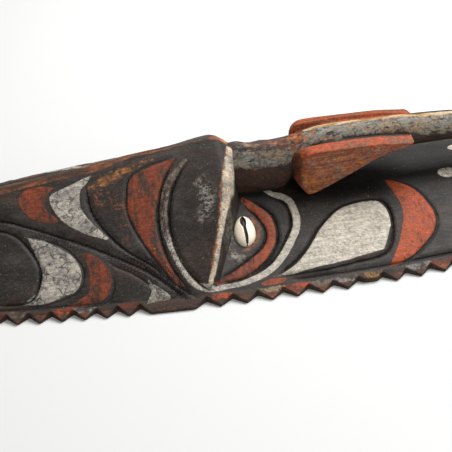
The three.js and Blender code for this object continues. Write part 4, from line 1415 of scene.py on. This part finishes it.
# Wings: depth of the red edge, faces seen from the side, and the slant and place of the deep end, which
# is left black as painted shade
WING_RED_DEPTH, WING_SCUFF_DEPTH = 1.2, 1
WING_RED_INNER, WING_SIDE_INNER, WING_OUTER = 13.2, 13, 20
WING_DEEP_SLANT, WING_DEEP_END, WING_DEEP_SHARE = 0.5, 48.3, 0.9
WING_SIDE_SPREAD = 0.5
WING_CORNER, WING_CORNER_END = (54, 30.8), 50
WING_CORNER_RADIUS = 13


def paint_fields(s, c, piece):
    """Stores on every vertex how far it is inside each painted or worn area."""
    x, y, z = get_places(piece).T / MM
    values = {**plate_fields(s, x, y, z), **nose_fields(x, y, z), **wing_fields(s, x, y, z)}
    for name, field in values.items():
        set_values(piece, name, np.clip(field, -FAR, FAR))
    layer = piece.data.attributes.new("rim_colour", "FLOAT_COLOR", "POINT")
    layer.data.foreach_set("color", rim_colours(s, c, x).astype(np.float32).ravel())


def plate_fields(s, x, y, z):
    a = np.abs(y)
    past = past_crest(s, x, a)
    patch = distance_inside(x - np.where(y > 0, FAR_PATCH_SHIFT, 0), a, NOSTRIL_PATCH)
    stripe_start, stripe_end = past - through(STRIPE_START, a), through(STRIPE_END, a) - past
    rubbed = np.min([RUB_HALF - np.abs(stripe_start), a - RUB_INNER, RUB_OUTER - a], 0)
    ridge = np.minimum(y - through(RIDGE_WEAR, x), RIDGE_WEAR_END - y)
    far_red = np.where((y > 0) & (x < FAR_WEAR_END), y - FAR_WEAR, FAR)
    on_fold = (x < FOLD_END) * (x > FOLD_WEAR_FROM)
    white_wear = WHITE_WEAR + FOLD_WEAR * smooth_step(*FOLD_WEAR_FADE, a) * on_fold
    white_wear += CHEEK_WEAR * smooth_step(*CHEEK_WEAR_FADE, x)
    white_wear += FRONT_WEAR * smooth_step(*FRONT_WEAR_FADE, x)
    past_notch = a - notch_half_width(s, x)
    fall = (s.rim_height - s.tip_height) * np.clip(past_notch / s.tooth_depth, 0, 1)
    on_tab = (x > s.tab_start) & (x < s.tab_end)
    point_wear = np.where(on_tab, TAB_POINT_WEAR, POINT_WEAR)
    _, line_side, line_weight = line_cut(s, x, a)
    return {
        "red_edge": np.minimum(inside_any(x, a, RED_SHAPES), far_red),
        "white_edge": np.maximum(inside_any(x, a, WHITE_SHAPES, WHITE_BANDS), patch),
        "white_wear": white_wear,
        "fold_edge": np.minimum(distance_inside_band(x, a, *WHITE_BANDS[0]) + FOLD_SPREAD, FOLD_END - x),
        # Painted shade near the middle, past the brow, under the nose bar
        "sheltered": np.where(past > 1, NOSE_SHADE_REACH - a, -FAR),
        "gold_edge": inside_any(x, a, (), GOLD_BANDS),
        "brown_edge": inside_any(x, a, (), BROWN_BANDS),
        "scuff_edge": inside_any(x, a, (), SCUFF_BANDS),
        "stripe_edge": np.min([stripe_start, stripe_end, a - STRIPE_INNER, STRIPE_OUTER - a], 0),
        "rub_edge": np.maximum(rubbed, distance_inside_band(x, a, *HALO_BAND)),
        "ridge_edge": np.where(past < 0, ridge, -FAR),
        "tip_edge": inside_oval(x, y, TIP_WEAR),
        "line_side": line_side,
        "line_weight": line_weight,
        "rim_edge": np.minimum(past_notch + RIM_SPREAD, s.tooth_depth - RIM_GAP - past_notch),
        "point_edge": past_notch - s.tooth_depth + point_wear,
        "rim_drop": np.where(past_notch > DROP_START, np.maximum(s.rim_height - fall - z, 0), 0),
    }


def nose_fields(x, y, z):
    level = height_through(NOSE_CREST, x) - z
    root = smooth_step(*NOSE_ROOT_END, x)
    front = smooth_step(*NOSE_FRONT, x)
    strip = STRIP_HALF + STRIP_HALF_CHANGE * front
    strip -= np.abs(y - STRIP_MIDDLE - STRIP_MIDDLE_CHANGE * front)
    clay = np.minimum(CLAY_EDGE + CLAY_EDGE_CHANGE * front - y,
                      CLAY_DEPTH + CLAY_DEPTH_CHANGE * front - level)
    root_clay = np.minimum(level - ROOT_CLAY_TOP, ROOT_CLAY_FOOT - level)
    dark = np.minimum(y - DARK_FROM, DARK_TO - y) - DARK_INSET
    belt = np.minimum(level - BELT_DEPTH, z - BELT_FOOT)
    return {
        "nose_top": np.minimum(strip, STRIP_DEPTH - level) - ROOT_LOSS * root,
        "nose_dark": np.where(root > 0.5, ROOT_DARK_DEPTH - level, dark),
        "nose_clay": np.where(root > 0.5, root_clay, clay) + CLAY_SPREAD,
        "nose_rust": np.minimum(inside_oval(x, y, NOSE_RUST), NOSE_RUST_DEPTH - level),
        "nose_root": np.minimum(inside_oval(x, y, ROOT_WEAR), STRIP_DEPTH - level),
        "nose_belt": np.where(root > BELT_END, belt, -FAR),
        "nose_low": level - LOW_DEPTH,
    }


def wing_fields(s, x, y, z):
    u = wing_station(s, x, y)
    a = np.abs(y)
    below = height_through(WING_TOP, u) - z
    # The deep end face keeps the black ground as painted shade
    deep = (u + WING_DEEP_SLANT * (s.wing_across - a) - WING_DEEP_END) * WING_DEEP_SHARE
    from_corner = np.hypot(u - WING_CORNER[0], z - WING_CORNER[1])
    corner = WING_CORNER_RADIUS - from_corner * np.where(u > WING_CORNER_END, 1, 2)
    return {
        "wing_red": np.min([WING_RED_DEPTH - below, a - WING_RED_INNER, deep], 0),
        "wing_side": np.minimum(a - WING_SIDE_INNER, deep + WING_SIDE_SPREAD),
        "wing_rust": np.minimum(corner, a - WING_OUTER),
        "wing_scuff": np.minimum(below - WING_SCUFF_DEPTH, a - WING_OUTER),
    }


def rim_colours(s, c, x):
    """Paint of the tooth that each place along the rim belongs to."""
    notches = notch_places(s)
    tab = int(np.searchsorted(notches, tab_middle(s)))
    names = [FOREHEAD_TEETH[i % len(FOREHEAD_TEETH)] for i in reversed(range(tab))] + ["umber"]
    names += [FACE_TEETH[i % len(FACE_TEETH)] for i in range(len(notches) - tab)]
    shades = np.array([(*getattr(c, name), 1) for name in names])
    return shades[np.searchsorted(notches, x)]


# Operators

SHELL_SIDES = 128
SHELL_RINGS = 96
SHELL_NARROWS = 0.1
# Mouth of a cowrie: its line, its half width with the swell at one end, its depth and its lips; it is
# painted dark as shade inside the slit
MOUTH_SHIFT, MOUTH_BEND, MOUTH_WAVE = -0.2, 0.9, 2.2
MOUTH_HALF, MOUTH_SWELL, MOUTH_END = 0.8, 1.2, 0.94
MOUTH_WIDENS, MOUTH_NARROWS = (0.0, 0.45), (1.0, 0.6)
MOUTH_DEPTH, MOUTH_EDGE, NO_MOUTH = 2.2, 0.35, 3
LIP_RUN, LIP_INSET = 2.6, 0.1
RIB_PITCH, RIB_HEIGHT, RIB_SHADE, RIB_RUN = 1.25, 0.35, 1.1, 2.4
CAMERA_PLACE = (-116.4, -599.7, 452.5)
CAMERA_FILM = 36
CAMERA_REACH = 60
# Lights: name, place in metres and diameter
KEY_LIGHT = ("key", (0.6, 0.45, 1.2), 1.0)
FILL_LIGHT = ("fill", (0.35, -1.2, 0.9), 1.2)


class MASK_OT_carved_body(bpy.types.Operator):
    """Carves and paints the wooden body with its nose bar, nostril wings and hollow back"""

    bl_idname = "mask.carved_body"
    bl_label = "Carved body"

    def execute(self, context):
        s = in_millimetres(context.scene.mask_sizes)
        c = context.scene.mask_colours
        groups = SimpleNamespace(paint=paint_group(), grain=grain_group(), line=line_group())
        materials = [plate_material(groups, c), nose_material(groups, c),
                     wing_material(groups, c), bare_material(groups, c)]
        body = tube("carved_body", body_rings(s))
        assign(body, materials, 0)
        parts = [(tube("nose_bar", nose_rings()), 1, "UNION")]
        parts += [(tube("nostril_wing", wing_rings(s, side)), 2, "UNION") for side in (-1, 1)]
        parts += [(tube("hollow", hollow_rings(s)), 3, "DIFFERENCE")]
        parts += [(seat(s, side), 3, "DIFFERENCE") for side in (-1, 1)]
        for part, index, operation in parts:
            assign(part, materials, index)
            combine(body, part, operation)
        paint_fields(s, c, body)
        activate(body)
        bpy.ops.object.shade_smooth_by_angle(angle=math.radians(SMOOTH_ANGLE))
        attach(body, "root")
        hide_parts("mask_body")
        return {"FINISHED"}


class MASK_OT_cowrie_shells(bpy.types.Operator):
    """Sets a cowrie shell in each eye socket"""

    bl_idname = "mask.cowrie_shells"
    bl_label = "Cowrie shells"

    def execute(self, context):
        s = in_millimetres(context.scene.mask_sizes)
        material = shell_material(context.scene.mask_colours)
        for side, word in ((-1, "left"), (1, "right")):
            self.add_shell(s, side, word, material)
        return {"FINISHED"}

    def add_shell(self, s, side, word, material):
        bpy.ops.object.select_all(action="DESELECT")
        bpy.ops.mesh.primitive_uv_sphere_add(segments=SHELL_SIDES, ring_count=SHELL_RINGS, radius=0.5)
        piece = named(f"cowrie_{word}")
        # The poles of the sphere lie at the ends of the shell
        across, down, along = get_places(piece).T * 2
        x = across * (1 - SHELL_NARROWS * along) * s.shell_width / 2
        y = along * s.shell_length / 2
        z = -down * s.shell_depth / 2
        upward = down < 0
        # The mouth is a bent slit with a ribbed lip to both sides
        bend = MOUTH_SHIFT - MOUTH_BEND * np.sin(MOUTH_WAVE * along)
        wide = smooth_step(*MOUTH_WIDENS, along) * smooth_step(*MOUTH_NARROWS, along)
        half = MOUTH_HALF + MOUTH_SWELL * wide
        gap = np.abs(x - bend) - half * np.sqrt(np.clip(1 - (along / MOUTH_END) ** 4, 0, 1))
        ribs = 0.5 + 0.5 * np.cos(y * 2 * math.pi / RIB_PITCH)
        lip = np.clip(1 - np.maximum(gap, 0) / LIP_RUN, 0, 1) * upward
        z = z + lip * (RIB_HEIGHT * ribs - LIP_INSET)
        mouth = MOUTH_DEPTH * smooth_step(MOUTH_EDGE, -MOUTH_EDGE, gap)
        z = np.minimum(z - mouth * upward, s.shell_depth / 2)
        set_places(piece, np.stack([x, side * -y, z], 1))
        # The mouth and short dark ticks on its right lip are painted shade of the slit
        dark = gap - RIB_SHADE * ribs * (x > bend) * np.clip(1 - gap / RIB_RUN, 0, 1) + LIP_INSET
        set_values(piece, "mouth_gap", np.where(upward, dark, NO_MOUTH))
        piece.data.transform(shell_place(s, side))
        if side > 0:
            piece.data.flip_normals()
        piece.data.materials.append(material)
        activate(piece)
        bpy.ops.object.shade_smooth()
        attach(piece, "root")
        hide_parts(f"cowrie_eye_{word}")


class MASK_OT_stage(bpy.types.Operator):
    """Adds the floor, the lights and the camera"""

    bl_idname = "mask.stage"
    bl_label = "Stage"

    def execute(self, context):
        scene = context.scene
        settings = scene.mask_stage
        bpy.ops.object.select_all(action="DESELECT")
        bpy.ops.mesh.primitive_plane_add(size=settings.floor_side)
        floor = named("floor")
        material, nodes, shader = new_material("Pale floor")
        nodes.put(shader["Base Color"], settings.floor)
        nodes.put(shader["Roughness"], FLOOR_ROUGHNESS)
        floor.data.materials.append(material)
        self.add_light(*KEY_LIGHT, settings.key_strength)
        self.add_light(*FILL_LIGHT, settings.fill_strength)
        scene.world = bpy.data.worlds.new("Studio")
        scene.world.use_nodes = True
        background = scene.world.node_tree.nodes["Background"].inputs
        background["Color"].default_value = (1, 1, 1, 1)
        background["Strength"].default_value = settings.sky_strength
        scene.view_settings.view_transform = "Standard"
        self.add_camera(scene, settings)
        return {"FINISHED"}

    def add_light(self, name, place, diameter, power):
        bpy.ops.object.light_add(type="AREA", location=place)
        light = named(name)
        light.data.shape = "DISK"
        light.data.size = diameter
        light.data.energy = power
        light.rotation_euler = Vector(place).to_track_quat("Z", "Y").to_euler()

    def add_camera(self, scene, settings):
        turn, lift, roll = settings.azimuth, settings.elevation, settings.roll
        level = Vector((math.cos(turn), math.sin(turn), 0))
        back = Vector((math.sin(turn) * math.cos(lift), -math.cos(turn) * math.cos(lift), math.sin(lift)))
        rise = back.cross(level)
        right = level * math.cos(roll) - rise * math.sin(roll)
        up = level * math.sin(roll) + rise * math.cos(roll)
        bpy.ops.object.camera_add()
        camera = bpy.context.object
        spot = Vector(CAMERA_PLACE) * MM
        camera.matrix_world = Matrix.Translation(spot) @ Matrix((right, up, back)).transposed().to_4x4()
        camera.data.lens = settings.lens / MM
        camera.data.sensor_width = CAMERA_FILM
        camera.data.clip_end = CAMERA_REACH
        scene.camera = camera


class MASK_PT_panel(bpy.types.Panel):
    """Lists the steps that build the mask"""

    bl_idname = "MASK_PT_panel"
    bl_label = "Carved mask"
    bl_space_type = "VIEW_3D"
    bl_region_type = "UI"
    bl_category = "Mask"

    def draw(self, context):
        for step in (MASK_OT_carved_body, MASK_OT_cowrie_shells, MASK_OT_stage):
            self.layout.operator(step.bl_idname)


CLASSES = (MaskSizes, MaskColours, MaskStage, MASK_OT_carved_body, MASK_OT_cowrie_shells,
           MASK_OT_stage, MASK_PT_panel)
GROUPS = {"mask_sizes": MaskSizes, "mask_colours": MaskColours, "mask_stage": MaskStage}


def register():
    for kind in CLASSES:
        bpy.utils.register_class(kind)
    for name, kind in GROUPS.items():
        setattr(bpy.types.Scene, name, bpy.props.PointerProperty(type=kind))


def unregister():
    for name in GROUPS:
        delattr(bpy.types.Scene, name)
    for kind in reversed(CLASSES):
        bpy.utils.unregister_class(kind)


def main():
    register()
    bpy.ops.mask.carved_body()
    bpy.ops.mask.cowrie_shells()
    bpy.ops.mask.stage()


if __name__ == "__main__":
    main()
